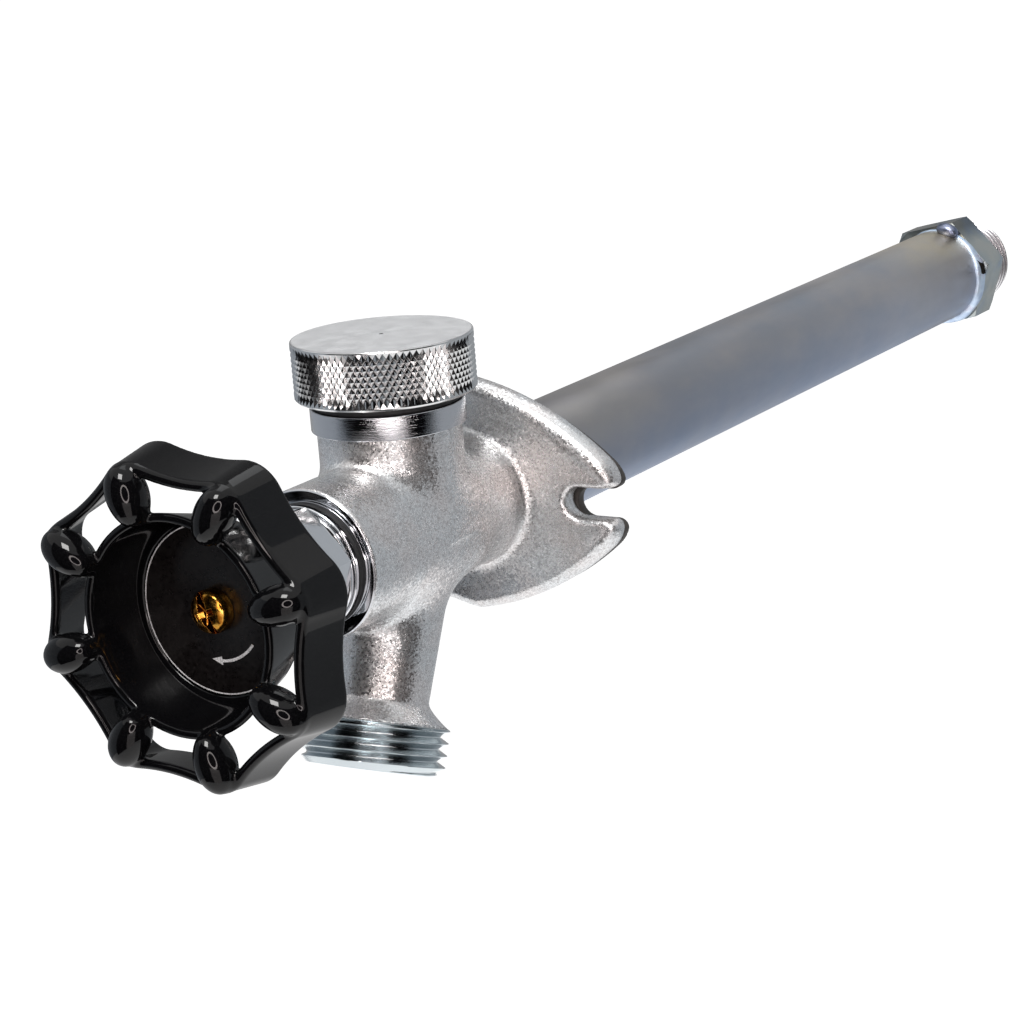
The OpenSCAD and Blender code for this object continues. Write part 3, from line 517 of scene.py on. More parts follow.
inlet_plate = dull_plate()
hex_corner = hex_flats / 2 / math.cos(math.pi / 6)
inlet_hex = faceted(
    "inlet_hexagon",
    hex_rows(hex_start, hex_end, hex_corner, hex_bevel, cup_radius),
    hex_flats,
    -hex_turn,
    INWARD,
    inlet_plate,
)
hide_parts("inlet_fitting")
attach(inlet_hex, "valve")


def weld(piece):
    """Joins points that lie together and drops the faces that collapse."""
    gap = 0.002 * MM
    shell = bmesh.new()
    shell.from_mesh(piece.data)
    bmesh.ops.remove_doubles(shell, verts=shell.verts, dist=gap)
    bmesh.ops.dissolve_degenerate(shell, edges=shell.edges, dist=gap)
    shell.to_mesh(piece.data)
    shell.free()
    piece.data.set_sharp_from_angle(angle=math.radians(SHARP_BEND))


def screwed(name, before, thread, after, place, material, around=160, per_turn=20):
    """Right-handed thread between plain rows of (radius, height) points, as one closed ring.
    thread holds root and crest radius, crest flat, pitch, start, end and a radius trimmer."""
    root, crest, crest_flat, pitch, start, end, trim = thread
    turn = np.arange(around + 1) * 2 * math.pi / around
    lead = pitch * turn / (2 * math.pi)
    count = int(math.ceil((end - start) / pitch * per_turn)) + 2 * per_turn
    base = start - pitch + np.arange(count + 1)[:, None] * pitch / per_turn
    height = np.clip(base + lead, start, end)
    phase = np.mod((height - lead) / pitch, 1.0)
    from_crest = np.abs(phase - 0.5) * pitch
    radius = crest - np.clip(from_crest - crest_flat / 2, 0, None) * math.sqrt(3)
    radius = trim(np.maximum(radius, root), height)
    rows = [(r + 0 * turn, h + 0 * turn) for r, h in before]
    rows += list(zip(radius, height))
    rows += [(r + 0 * turn, h + 0 * turn) for r, h in after]
    radius, height = np.array(rows).transpose(1, 0, 2)
    points = lathe_points(radius, turn, height, place)
    faces = grid_faces(len(rows), around + 1, close_columns=False)[:, ::-1]
    piece = surface_piece(name, points, faces, material)
    weld(piece)
    return piece


pipe_start = hex_end + 1.2
pipe_end = inlet_high.y
pipe_root = pipe_crest - 0.6 * pipe_pitch
lead_drop = 1.3
lead_slope = 0.5


def pipe_trim(radius, height):
    """Long bevel that starts the thread at the stub's end."""
    return np.minimum(radius, pipe_crest - lead_drop + (pipe_end - height) * lead_slope)


def stub_steel():
    """Dark grey in the thread's roots, bright on its crests."""
    material = finish("stub_steel", (0.2, 0.19, 0.2), 1.0, 0.3)
    place = split(material, own_place(material))
    square = calculate(material, "MULTIPLY", place["X"], place["X"])
    square = calculate(material, "MULTIPLY_ADD", place["Z"], place["Z"], square)
    reach = calculate(material, "POWER", square, 0.5)
    depth = spread(material, reach, 0.0, 1.0, pipe_root, pipe_crest)
    # Colour by depth in the thread: dark in the roots, bright on the crests.
    root_to_crest_colour = ramp(material, depth, [(0.70, (0.17, 0.165, 0.18)), (0.95, (0.75, 0.75, 0.76))])
    return coloured(material, root_to_crest_colour)


inlet_stub = screwed(
    "inlet_stub",
    [(cup_radius, pipe_start - 2.0), (pipe_root, pipe_start - 2.0), (pipe_root, pipe_start)],
    (pipe_root, pipe_crest, 0.2, pipe_pitch, pipe_start, pipe_end, pipe_trim),
    [(pipe_crest - 1.5, pipe_end), (cup_radius + 0.3, pipe_end), (cup_radius, pipe_end - 0.3)],
    INWARD,
    stub_steel(),
)
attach(inlet_stub, "valve")

seat_radius = 4.8
seat_lip = seat_radius + 0.7
seat_foot = seat_radius + 1.5
cup_floor = pipe_end - cup_depth
cup_outside = cup_radius + 1.0
spigot_radius = tube_high.x - tube_wall - hair_gap
spigot_start = 197.6
spigot_end = hex_start + 0.5
lip_start = 196.4
seat_profile = [
    (seat_radius, lip_start),
    (seat_lip, lip_start),
    (seat_foot, spigot_start),
    (spigot_radius, spigot_start),
    (spigot_radius, spigot_end),
    (cup_outside, spigot_end),
    (cup_outside, cup_floor),
    (seat_radius, cup_floor),
]
seat_body = turned("inlet_seat", eased(seat_profile, 0.15), INWARD, inlet_plate)
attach(seat_body, "valve")


# Brazed bead
# Braze metal run round the tube's end against the hexagon, smooth and pale blue. One drop has
# frozen on it at the top. Beside a corner of the hexagon, where a small gap was left open, a black
# piece is painted shade, a little browner in places where flux is left.
def bead_profile():
    """Quarter round from the tube up to the hexagon's face."""
    rise = bead_high.x - tube_high.x
    length = bead_high.y - bead_low.y
    curve = []
    for bend in [math.radians(a) for a in range(0, 91, 15)]:
        away, along = rise * math.sin(bend), length * (1 - math.cos(bend))
        curve.append((tube_high.x + away, bead_low.y + along))
    inside = tube_high.x - hair_gap
    return [*curve, (inside, bead_high.y), (inside, bead_low.y)]


blues = [(0.35, (0.48, 0.58, 0.74)), (0.55, (0.62, 0.73, 0.86)), (0.70, (0.60, 0.60, 0.72))]
braze_film, braze_bumps = ((3.0,), blues), ((0.8,), 0.03, 0.8)
braze_blue = finish("braze_blue", (0.46, 0.56, 0.68), 1.0, 0.46, braze_film, bumps=braze_bumps)
bead = turned("braze_ring", bead_profile(), INWARD, braze_blue, around=180)
bead_foot = tube_high.x * MM
bead_back = bead_high.y * MM
bead_least = 0.15
bead_most = 1.15
full_side = 0.35
for point in bead.data.vertices:
    angle = math.atan2(point.co.z, point.co.x)
    swell = bead_least + (0.5 + 0.5 * math.cos(angle + full_side)) ** 1.6
    swell = swell + 0.10 * math.sin(5 * angle + 0.6) + 0.06 * math.sin(11 * angle)
    reach = math.hypot(point.co.x, point.co.z)
    wanted = bead_foot + (reach - bead_foot) * min(swell, bead_most)
    point.co.x *= wanted / reach
    point.co.z *= wanted / reach
    point.co.y = bead_back - (bead_back - point.co.y) * swell
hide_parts("braze_bead")
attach(bead, "valve")


def skin(name, distance, low, high, step, material, settle=2):
    """Closed skin of a form given by its distance in millimetres, with evenly spread points."""
    axes = [np.arange(a - 2 * step, b + 3 * step, step) for a, b in zip(low, high)]
    x, y, z = np.meshgrid(*axes, indexing="ij", sparse=True)
    inside = distance(x, y, z) < 0
    corners = np.zeros(np.array(inside.shape) - 1, int)
    for i in (0, 1):
        for j in (0, 1):
            for k in (0, 1):
                a, b, c = corners.shape
                corners += inside[i : a + i, j : b + j, k : c + k]
    crossed = (corners > 0) & (corners < 8)
    number = np.full(corners.shape, -1)
    number[crossed] = np.arange(crossed.sum())
    cells = np.argwhere(crossed)
    points = np.stack([axes[i][cells[:, i]] + step / 2 for i in range(3)], -1)

    faces = []
    for axis in range(3):
        u, v = (axis + 1) % 3, (axis + 2) % 3
        first = np.take(inside, range(inside.shape[axis] - 1), axis)
        second = np.take(inside, range(1, inside.shape[axis]), axis)
        edges = np.argwhere(first != second)
        outward = first[tuple(edges.T)]
        du, dv = np.eye(3, dtype=int)[u], np.eye(3, dtype=int)[v]
        quad = [number[tuple((edges - shift).T)] for shift in (0 * du, du, du + dv, dv)]
        quad = np.stack(quad, -1)
        quad[~outward] = quad[~outward][:, ::-1]
        faces.append(quad)
    faces = np.concatenate(faces)

    def gradient(p):
        reach = step * 0.2
        shifts = np.eye(3) * reach
        ahead = [distance(*(p + s).T) for s in shifts]
        behind = [distance(*(p - s).T) for s in shifts]
        return (np.stack(ahead, -1) - np.stack(behind, -1)) / (2 * reach)

    def settle_on_surface(p):
        slope = gradient(p)
        steep = np.maximum((slope**2).sum(-1), 0.05)
        move = -(distance(*p.T) / steep)[:, None] * slope
        length = np.linalg.norm(move, axis=-1, keepdims=True)
        return p + move * np.minimum(1, step / np.maximum(length, 1e-9))

    for _ in range(3):
        points = settle_on_surface(points)
    ring = np.roll(faces, -1, axis=1)
    for _ in range(settle):
        total = np.zeros_like(points)
        count = np.zeros(len(points))
        for a, b in ((faces, ring), (ring, faces)):
            np.add.at(total, a.ravel(), points[b.ravel()])
            np.add.at(count, a.ravel(), 1)
        points = points * 0.4 + total / count[:, None] * 0.6
        points = settle_on_surface(points)
    return surface_piece(name, points, faces, material, sharp=180)


drop_reach = 12.0
drop_angle = math.radians(72.5)
drop_at = hex_start - 1.2
drop_half = (2.9, 1.75, 1.7)


def drop_form(x, y, z):
    """Frozen drop lying on the bead, longer round the tube than along it."""
    round_tube = (np.arctan2(z, x) - drop_angle) * drop_reach / drop_half[0]
    away = (np.hypot(x, z) - drop_reach) / drop_half[1]
    along = (y - drop_at) / drop_half[2]
    return (np.sqrt(round_tube**2 + away**2 + along**2) - 1) * drop_half[2]


drop_middle = (3.6, drop_at, 11.5)
drop_room = 3.6
drop_film = (2.0,), [(0.35, (0.17, 0.20, 0.29)), (0.65, (0.27, 0.29, 0.38))]
drop_blue = finish("blob_blue", (0.2, 0.23, 0.3), 1.0, 0.34, drop_film)
drop = skin(
    "braze_drop",
    drop_form,
    tuple(c - drop_room for c in drop_middle),
    tuple(c + drop_room for c in drop_middle),
    0.3,
    drop_blue,
)
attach(drop, "valve")

# Painted shade: a black piece lies in the open gap beside the hexagon's corner, a little browner where
# flux is left.
gap_reach = 1.35
gap_outline = [(10.6, 4.9), (12.3, 3.2), (12.75, 0.9), (11.3, 1.2)]
gap_points = [(x, hex_start - rise, z) for rise in (gap_reach, 0.0) for x, z in gap_outline]
gap_faces = [(0, 1, 2, 3), (7, 6, 5, 4), *grid_faces(2, 4, close_rows=False)[:, [0, 3, 2, 1]]]
gap_shade_and_flux = (0.4,), [(0.4, (0.006, 0.006, 0.007)), (0.7, (0.022, 0.018, 0.015))]
gap_dark = finish("gap_dark", (0.01, 0.01, 0.01), 0.0, 0.95, gap_shade_and_flux, Specular_IOR_Level=0.05)
painted_gap_shade = surface_piece("painted_gap_shade", gap_points, gap_faces, gap_dark)
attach(painted_gap_shade, "valve")


# Casting
# Flange, barrel, neck and spout in one rough casting under a satin nickel plate. The forms run
# into each other in wide fillets, and only the seats of other pieces are turned.
def smooth_min(a, b, k):
    """Both solids, with a fillet of about that size between them."""
    h = np.clip(0.5 + 0.5 * (b - a) / k, 0, 1)
    return b + (a - b) * h - k * h * (1 - h)


def smooth_max(a, b, k):
    """What both solids share, with an edge rounded by about that size."""
    return -smooth_min(-a, -b, k)


def round_edge(a, b, radius):
    """Solid below both distances, with the edge between them rounded to a radius."""
    outside = np.hypot(np.maximum(a + radius, 0), np.maximum(b + radius, 0))
    return np.minimum(np.maximum(a, b) + radius, 0) + outside - radius


pad_low, pad_high = box_mm("wall_pad")
casting_high = box_mm("body_casting")[1]
gasket_low, gasket_high = box_mm("bonnet_gasket")
cap_low, cap_high = box_mm("breaker_cap")
pad_front = -pad_low.y
barrel_radius = 13.7
barrel_front = -gasket_high.y
neck_at = -(cap_low.y + cap_high.y) / 2
neck_radius = 13.05
neck_top = 18.9
flange_front = 7.6
flange_half_width = 37.2
flange_half_height = 22.5
flange_drop = 0.5
flange_blunt = 2.4
flange_edge = 3.9
flange_fillet = 3.4
flange_back_edge = 0.6
barrel_edge = 0.3
face_gap = 0.35
crest_gap = 0.15
dish_depth = 0.7
dish_start = 1.7
dish_slope = 2.2
arc_radius = 60.0
arc_chord = math.hypot(flange_half_width, flange_half_height)
arc_reach = math.sqrt(arc_radius**2 - (arc_chord / 2) ** 2)
arc_x = arc_reach * flange_half_height / arc_chord - flange_half_width / 2
arc_z = arc_reach * flange_half_width / arc_chord - flange_half_height / 2
ear_reach = casting_high.x + 1.0
slot_end = 23.9
slot_half = 2.9
slot_lip = 1.3
slot_corner = 2.0
waist_start = 24.0
waist_length = 13.0
waist_depth = 1.1
neck_fillet = 3.0
spout_axis = Vector(mounts["hose_thread"]["axis"])
outlet_middle = Vector(mounts["hose_outlet"]["pos_m"]) / MM
outlet_depth = mounts["hose_outlet"]["dims"]["length_mm"]
outlet_radius = mounts["hose_outlet"]["dims"]["r_mm"]
outlet_end = outlet_middle + spout_axis * outlet_depth / 2
spout_length = outlet_end.z / spout_axis.z
spout_origin = outlet_end - spout_axis * spout_length
spout_place = axis_frame(spout_origin, spout_axis)
hose_crest = mounts["hose_thread"]["dims"]["r_mm"]
hose_pitch = 2.209
hose_lead = 1.76
hose_last = spout_length - hose_lead
hose_first = hose_last - 3 * hose_pitch
hose_flare = 4.4
hose_flare_bend = 1.35
spout_waist = 9.0
spout_rise = 0.7
spout_root_gap = 3.0
spout_fillet = 4.5
spout_bore = 6.3
chamber_radius = 9.6
bonnet_radius = 10.15
bonnet_depth = 13.0
breaker_radius = 10.2
breaker_floor = 13.2
port_radius = 5.0


def flange_outline(x, z):
    """Distance outside the pointed oval of four equal arcs, seen from the front."""
    return np.hypot(np.abs(x) + arc_x, np.abs(z) + arc_z) - arc_radius


def slot_outline(x, z):
    """Distance outside the open slot in each point."""
    past = np.abs(x) - slot_end
    return np.where(past > 0, np.abs(z), np.hypot(past, z)) - slot_half


def blunt_outline(x, z, inset=0.0):
    """Pointed oval with its two points blunted."""
    ends = np.abs(x) + inset - casting_high.x
    return smooth_max(flange_outline(x, z) + inset, ends, flange_blunt)


def step_smooth(t):
    """Rises from 0 to 1 without a corner."""
    t = np.clip(t, 0, 1)
    return t * t * (3 - 2 * t)


def spout_radius(along):
    """Radius of the cast spout along its axis: it narrows, then flares to the first crest."""
    flare_start = hose_first - hose_flare
    flare = np.clip((along - flare_start) / hose_flare, 0, 1) ** hose_flare_bend
    root = np.clip((flare_start - along) / (flare_start - barrel_radius - spout_root_gap), 0, 1.2)
    return spout_waist + spout_rise * root + (hose_crest - hair_gap - spout_waist) * flare


def casting_form(x, y, z):
    """Flange, barrel, neck and spout run together, less the bores for what goes into them."""
    ahead = -y
    low_z = z + flange_drop
    inward = -flange_outline(x, low_z)
    face = ahead - flange_front + dish_depth * step_smooth((inward - dish_start) / dish_slope)
    flange = round_edge(blunt_outline(x, low_z), face, flange_edge)
    slot = -slot_outline(x, low_z)
    slot = np.maximum(slot, round_edge(slot, face, slot_lip))
    flange = round_edge(flange, slot, slot_corner)
    flange = smooth_max(flange, pad_front - ahead, flange_back_edge)
    waist = step_smooth((waist_start - ahead) / waist_length)
    wall = np.hypot(x, z + flange_drop * waist) - barrel_radius + waist_depth * waist
    barrel = round_edge(wall, ahead - barrel_front + face_gap, barrel_edge)
    barrel = np.maximum(barrel, pad_front - ahead)
    from_neck = np.hypot(x, ahead - neck_at)
    neck = np.maximum(np.maximum(from_neck - neck_radius, z - neck_top), -z)
    along = (y - spout_origin.y) * spout_axis.y + z * spout_axis.z
    across = (y - spout_origin.y) * spout_axis.z - z * spout_axis.y
    from_spout = np.hypot(x, across)
    spout = (from_spout - spout_radius(along)) * 0.85
    spout = np.maximum(np.maximum(spout, along - hose_first + crest_gap), -along)
    form = smooth_min(barrel, neck, neck_fillet)
    form = smooth_min(form, spout, spout_fillet)
    form = smooth_min(form, flange, flange_fillet)
    form = np.maximum(form, pad_front - ahead)
    from_axis = np.hypot(x, z)
    tube_socket = np.maximum(from_axis - tube_high.x - hair_gap, ahead + tube_low.y - hair_gap)
    chamber = np.maximum(from_axis - chamber_radius, -ahead)
    socket = np.maximum(from_axis - bonnet_radius, barrel_front - bonnet_depth - ahead)
    breaker = np.maximum(from_neck - breaker_radius, breaker_floor - z)
    port = np.maximum(from_neck - port_radius, -z)
    outlet = np.maximum(from_spout - spout_bore, -along)
    mouth = np.maximum(from_spout - outlet_radius, spout_length - outlet_depth - along)
    for bore in (tube_socket, chamber, socket, breaker, port, outlet, mouth):
        form = np.maximum(form, -bore)
    return form


grain_size = 0.31
grain_lean = 0.21


def cast_nickel():
    """Satin plate over the sand's print: small grains that each face their own way."""
    material = finish("cast_nickel", (0.7, 0.7, 0.7), 0.85, 0.25)
    cells = add(material, "TexVoronoi", {"Vector": own_place(material), "Scale": 1 / grain_size})
    own_colour = cells.node.outputs["Color"]
    own_shade = split(material, own_colour)
    shades = [(0.0, (0.46, 0.45, 0.45)), (0.45, (0.60, 0.60, 0.605)), (1.0, (0.70, 0.705, 0.71))]
    shade = ramp(material, own_shade["X"], shades)
    patches = grain(material, 9.0, 3.0, 0.55)
    warm = ramp(material, patches, [(0.40, (0.97, 0.99, 1.0)), (0.62, (1.0, 0.97, 0.96))])
    shade = blend_colour(material, 1.0, shade, warm, "MULTIPLY")
    coloured(material, shade)
    plug(shader_input(material, "Roughness"), spread(material, own_shade["Y"], 0.25, 0.38))
    rough_skin(material, grain(material, 1.5, 3.0, 0.6), 0.07)
    bump = shader_input(material, "Normal").links[0].from_node
    lean = calculate(material, "SUBTRACT", own_colour, (0.5, 0.5, 0.5), kind="VectorMath")
    lean = calculate(material, "MULTIPLY", lean, (grain_lean,) * 3, kind="VectorMath")
    facing = add(material, "NewGeometry").node.outputs["Normal"]
    facing = calculate(material, "ADD", facing, lean, kind="VectorMath")
    facing = calculate(material, "NORMALIZE", facing, kind="VectorMath")
    plug(bump.inputs["Normal"], facing)
    return material


casting_step = 0.45
casting = skin(
    "rough_casting",
    casting_form,
    (-ear_reach, -barrel_front, -spout_length),
    (ear_reach, -pad_front, flange_half_height),
    casting_step,
    cast_nickel(),
)
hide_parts("body_casting")
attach(casting, "valve")


# Turned seats of the casting
# Band and threaded nose at the top of the neck, and the ring at the front of the barrel.
# Both are cut in the lathe through the cast skin, so they mirror like polished metal.
def distance_along(material, place, axis):
    """Distance of a place from the origin along an axis."""
    dotted = calculate(material, "DOT_PRODUCT", place, Vector(axis), kind="VectorMath")
    return dotted.node.outputs["Value"]


def turned_nickel(name, axis, origin, roughness=0.08, colour=(0.49, 0.50, 0.525)):
    """Mirror finish with the fine rings that the tool leaves, spaced along an axis."""
    smears = ((2.4,), roughness * 0.7, roughness * 1.6)
    material = finish(name, colour, 1.0, roughness, smears=smears)
    place = own_place(material)
    offset = calculate(material, "SUBTRACT", place, Vector(origin), kind="VectorMath")
    along = distance_along(material, offset, axis)
    rings = {"W": along, "Scale": 7.0, "Detail": 4.0, "Roughness": 0.7}
    ring_lines = add(material, "TexNoise", rings, noise_dimensions="1D")
    rough_skin(material, ring_lines, 0.028, 0.9)
    return material


band_radius = 14.0
band_top = 23.1
nose_radius = 12.2
nose_top = 31.5
seat_overlap = 0.8
neck_place = axis_frame((0, -neck_at, 0), (0, 0, 1))
band_profile = [
    (breaker_radius, neck_top - seat_overlap),
    (neck_radius - 0.6, neck_top - seat_overlap),
    (neck_radius - 0.6, neck_top - hair_gap),
    (band_radius, neck_top - hair_gap),
    (band_radius, band_top),
    (nose_radius, band_top),
    (nose_radius, nose_top),
    (breaker_radius, nose_top),
]
neck_nickel = turned_nickel("turned_neck", (0, 0, 1), (0, 0, 0))
neck_band = turned("turned_band", eased(band_profile, 0.18), neck_place, neck_nickel)
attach(neck_band, "valve")

face_depth = 1.6
face_radius = barrel_radius - 0.45
face_profile = [
    (bonnet_radius, barrel_front - face_depth),
    (face_radius, barrel_front - face_depth),
    (face_radius, barrel_front - 0.6),
    (barrel_radius - 0.02, barrel_front - 0.34),
    (barrel_radius - 0.3, barrel_front - 0.02),
    (bonnet_radius, barrel_front - 0.02),
]
face_nickel = turned_nickel("turned_face", (0, -1, 0), (0, 0, 0), 0.07)
barrel_face = turned("turned_barrel_face", eased(face_profile, 0.08), FRONT, face_nickel)
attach(barrel_face, "valve")


# Hose thread
# Four sharp crests of the garden hose thread, cut in the lathe on the spout's end with a bevelled
# lead. The cut metal is bright under its plate and mirrors faintly blue.
hose_root = hose_crest - 1.62
hose_start = hose_first - 0.2
hose_end = spout_length - 0.02
hose_neck = hose_start - 0.8
hose_bevel = 1.04


def hose_trim(radius, height):
    """Shoulder left by the casting above the first crest, and the bevel before the end face."""
    shoulder = hose_crest - 0.1 - (height - hose_start) * 1.1
    lead = hose_crest - (height - hose_last) * hose_bevel
    lead = np.where(height > hose_last, lead, hose_crest)
    return np.minimum(np.maximum(radius, shoulder), lead)


hose_thread = screwed(
    "hose_thread",
    [(outlet_radius, hose_neck), (hose_root - 0.6, hose_neck)],
    (hose_root, hose_crest, 0.1, hose_pitch, hose_start, hose_end, hose_trim),
    [
        (hose_crest - hose_lead * hose_bevel, hose_end),
        (outlet_radius + 0.4, hose_end),
        (outlet_radius, spout_length - 0.4),
    ],
    spout_place,
    turned_nickel("turned_thread", spout_axis, spout_origin, 0.1, (0.49, 0.535, 0.555)),
)
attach(hose_thread, "valve")


# Wall pad
# Moulded rubber pad of the flange's outline, drawn in a little and sagging below it. The two
# mounting screws press it between the flange and the wall to keep water out.
def moulded_rubber(name, colour):
    """Matt rubber, paler where dust lies on it."""
    shades = [(0.35, [c * 0.7 for c in colour]), (0.70, [c * 1.7 + 0.004 for c in colour])]
    bumps = ((0.3,), 0.02, 0.7)
    return finish(name, colour, 0.0, 0.6, film=((2.2, 4.0, 0.6), shades), bumps=bumps)


pad_inset = 1.0
pad_right = 0.6
pad_drop = flange_drop + 0.75
pad_edge = 0.4
pad_slot_corner = 2.3


def pad_form(x, y, z):
    """Sheet with the flange's outline and slots, and a round hole for the tube."""
    ahead = -y
    aside, low_z = x - pad_right, z + pad_drop
    outline = blunt_outline(aside, low_z, pad_inset)
    shape = round_edge(outline, -slot_outline(aside, low_z), pad_slot_corner)
    sheet = round_edge(shape, ahead - pad_front + 0.02, pad_edge)
    sheet = smooth_max(sheet, 0.02 - ahead, pad_edge)
    return np.maximum(sheet, tube_high.x + 0.15 - np.hypot(x, z))


wall_pad = skin(
    "rubber_pad",
    pad_form,
    (-ear_reach, pad_low.y, -flange_half_height),
    (ear_reach, pad_high.y, flange_half_height),
    0.4,
    moulded_rubber("moulded_rubber", (0.030, 0.026, 0.023)),
)
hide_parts("wall_pad")
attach(wall_pad, "valve")


# Bonnet, gasket and packing nut
# Chromed brass bonnet screwed into the barrel over a thin gasket, and the hexagonal nut that
# presses the packing round the stem.
chrome_roughness = 0.06
chrome_smears = (2.0, 3.0, 0.6), chrome_roughness * 0.6, chrome_roughness * 1.8
chrome_bumps = (0.9,), 0.006, 0.6
chrome = finish(
    "bright_chrome", (0.66, 0.67, 0.69), 1.0, chrome_roughness, None, chrome_smears, chrome_bumps
)
bonnet_low, bonnet_high = box_mm("bonnet")
nut_low, nut_high = box_mm("packing_nut")
collar_radius = bonnet_high.x
collar_back = barrel_front + (gasket_high.y - gasket_low.y)
nut_front = -nut_low.y
nut_back = -nut_high.y
collar_front = nut_back - 0.3
stem_thread = 6.35
stem_hole = 4.8
packing_depth = 2.2
nose_outside = 8.5
bonnet_profile = [
    (stem_thread, -bonnet_high.y),
    (bonnet_radius - hair_gap, -bonnet_high.y),
    (bonnet_radius - hair_gap, collar_back),
    (collar_radius, collar_back),
    (collar_radius, collar_front),
    (nose_outside, collar_front),
    (nose_outside, -bonnet_low.y),
    (stem_hole, -bonnet_low.y),
    (stem_hole, -bonnet_low.y - packing_depth),
    (stem_thread, -bonnet_low.y - packing_depth),
]
bonnet = turned("chromed_bonnet", eased(bonnet_profile, 0.25), FRONT, chrome)
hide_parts("bonnet")
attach(bonnet, "valve")

nut_flats = 21.3
nut_turn = 16.0
nut_bevel = 1.1
nut_corner = nut_flats / 2 / math.cos(math.pi / 6)
nut_collar = nut_flats / 2 + 0.4
nut_collar_front = nut_back + 1.1
nut_bore = nose_outside + hair_gap
nut_hole = 4.9
nut_roof = 1.8
collar_ring = square_ring(nut_bore, nut_collar, nut_back, nut_collar_front)
nut_foot = turned("nut_collar", eased(collar_ring, 0.3), FRONT, chrome)
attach(nut_foot, "valve")
nut_rows = hex_rows(nut_collar_front - 0.1, nut_front, nut_corner, nut_bevel, nut_bore)[:-1]
nut_rows += [(nut_hole, nut_front), (nut_hole, nut_front - nut_roof), (nut_bore, nut_front - nut_roof)]
nut = faceted("chromed_nut", nut_rows, nut_flats, nut_turn, FRONT, chrome)
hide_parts("packing_nut")
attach(nut, "valve")


# Vacuum breaker cap
# Chromed brass cap with a diamond knurl rolled between two plain margins and a satin top,
# screwed down on a black sealing ring.
cap_radius = cap_high.x
cap_foot = cap_low.z
cap_crown = cap_high.z
cap_bevel = 0.5
cap_inside = nose_radius + hair_gap
cap_ceiling = cap_crown - 2.0
knurl_teeth = 85
knurl_rise = 1.95
knurl_depth = 0.42
knurl_margin = 0.45
knurl_turn = np.arange(2 * knurl_teeth) * math.pi / knurl_teeth


def knurled_side():
    """Rows of the side: two sets of crossing grooves leave sharp four-sided points. Each row
    holds the crossings and the points in turn, and the next row is shifted by one."""
    low, high = cap_foot + knurl_margin, cap_crown - knurl_margin
    rows = 2 * round((high - low) / knurl_rise) + 1
    height = np.linspace(low, high, rows)[:, None] + 0 * knurl_turn
    point = (np.arange(rows)[:, None] + np.arange(2 * knurl_teeth)) % 2
    radius = cap_radius - 0.02 - knurl_depth * (1 - point)
    radius[[0, -1]] = cap_radius - 0.05
    return radius, height, point


def plain_rows(profile):
    """The same radius and height all round, for each point of a profile."""
    return [np.array(column)[:, None] + 0 * knurl_turn for column in zip(*profile)]


knurl_radius, knurl_height, knurl_point = knurled_side()
lower_radius, lower_height = plain_rows(
    [
        (0.4, cap_ceiling),
        (cap_inside, cap_ceiling),
        (cap_inside, cap_foot),
        (cap_radius - cap_bevel - 0.05, cap_foot),
        (cap_radius - cap_bevel + 0.06, cap_foot + 0.05),
        (cap_radius - 0.08, cap_foot + cap_bevel - 0.06),
        (cap_radius - 0.03, cap_foot + cap_bevel + 0.05),
    ]
)
upper_radius, upper_height = plain_rows(
    [
        (cap_radius - 0.03, cap_crown - 0.40),
        (cap_radius - 0.09, cap_crown - 0.22),
        (cap_radius - 0.22, cap_crown - 0.08),
        (cap_radius - 0.42, cap_crown - 0.01),
        (cap_radius - 0.7, cap_crown),
        (cap_radius * 0.6, cap_crown),
        (1.3, cap_crown),
        (1.0, cap_crown - 0.05),
        (0.4, cap_crown - 0.07),
    ]
)
side_radius = np.concatenate((lower_radius, knurl_radius, upper_radius))
side_height = np.concatenate((lower_height, knurl_height, upper_height))
cap_points = lathe_points(side_radius, knurl_turn, side_height, neck_place)
cap_faces = grid_faces(*side_radius.shape)
knurl_from = lower_radius.size
on_side = (cap_faces.min(1) >= knurl_from) & (cap_faces.max(1) < knurl_from + knurl_point.size)
first_is_point = np.zeros(len(cap_faces), bool)
first_is_point[on_side] = knurl_point.ravel()[cap_faces[on_side, 0] - knurl_from] == 1
cap_faces = np.where(first_is_point[:, None], np.roll(cap_faces, -1, axis=1), cap_faces)
cap_faces = np.concatenate((cap_faces[:, [0, 1, 2]], cap_faces[:, [0, 2, 3]]))


def satin_chrome():
    """Chrome that is bright on the sides and brushed to a satin on the flat top. Painted light
    makes the top's colour much lighter than the sides'.
    """
    bumps = ((0.25,), 0.004, 0.6)
    material = finish("satin_chrome", (0.62, 0.625, 0.63), 1.0, 0.16, bumps=bumps)
    facing = add(material, "NewGeometry").node.outputs["Normal"]
    upward = split(material, facing)["Z"]
    flat_top = spread(material, upward, 0.0, 1.0, 0.93, 0.99)
    smears = grain(material, 3.0, 3.0)
    side, top = spread(material, smears, 0.11, 0.20), spread(material, smears, 0.38, 0.46)
    rough = add(material, "Mix", {0: flat_top, 2: side, 3: top}, data_type="FLOAT")
    plug(shader_input(material, "Roughness"), rough)
    # Painted light: the flat top's colour is much lighter than the sides'.
    painted_top_light = blend_colour(material, flat_top, (0.54, 0.545, 0.55, 1), (0.95, 0.955, 0.965, 1))
    return coloured(material, painted_top_light)


cap = surface_piece("knurled_cap", cap_points, cap_faces, satin_chrome(), sharp=22.0)
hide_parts("breaker_cap")
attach(cap, "valve")

black_rubber = moulded_rubber("black_rubber", (0.010, 0.010, 0.011))
ring_low, ring_high = box_mm("cap_seal_ring")
seal_profile = square_ring(cap_inside, ring_high.x, ring_low.z, ring_high.z)
seal_ring = turned("seal_ring", eased(seal_profile, 0.5), neck_place, black_rubber)
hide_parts("cap_seal_ring")
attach(seal_ring, "valve")


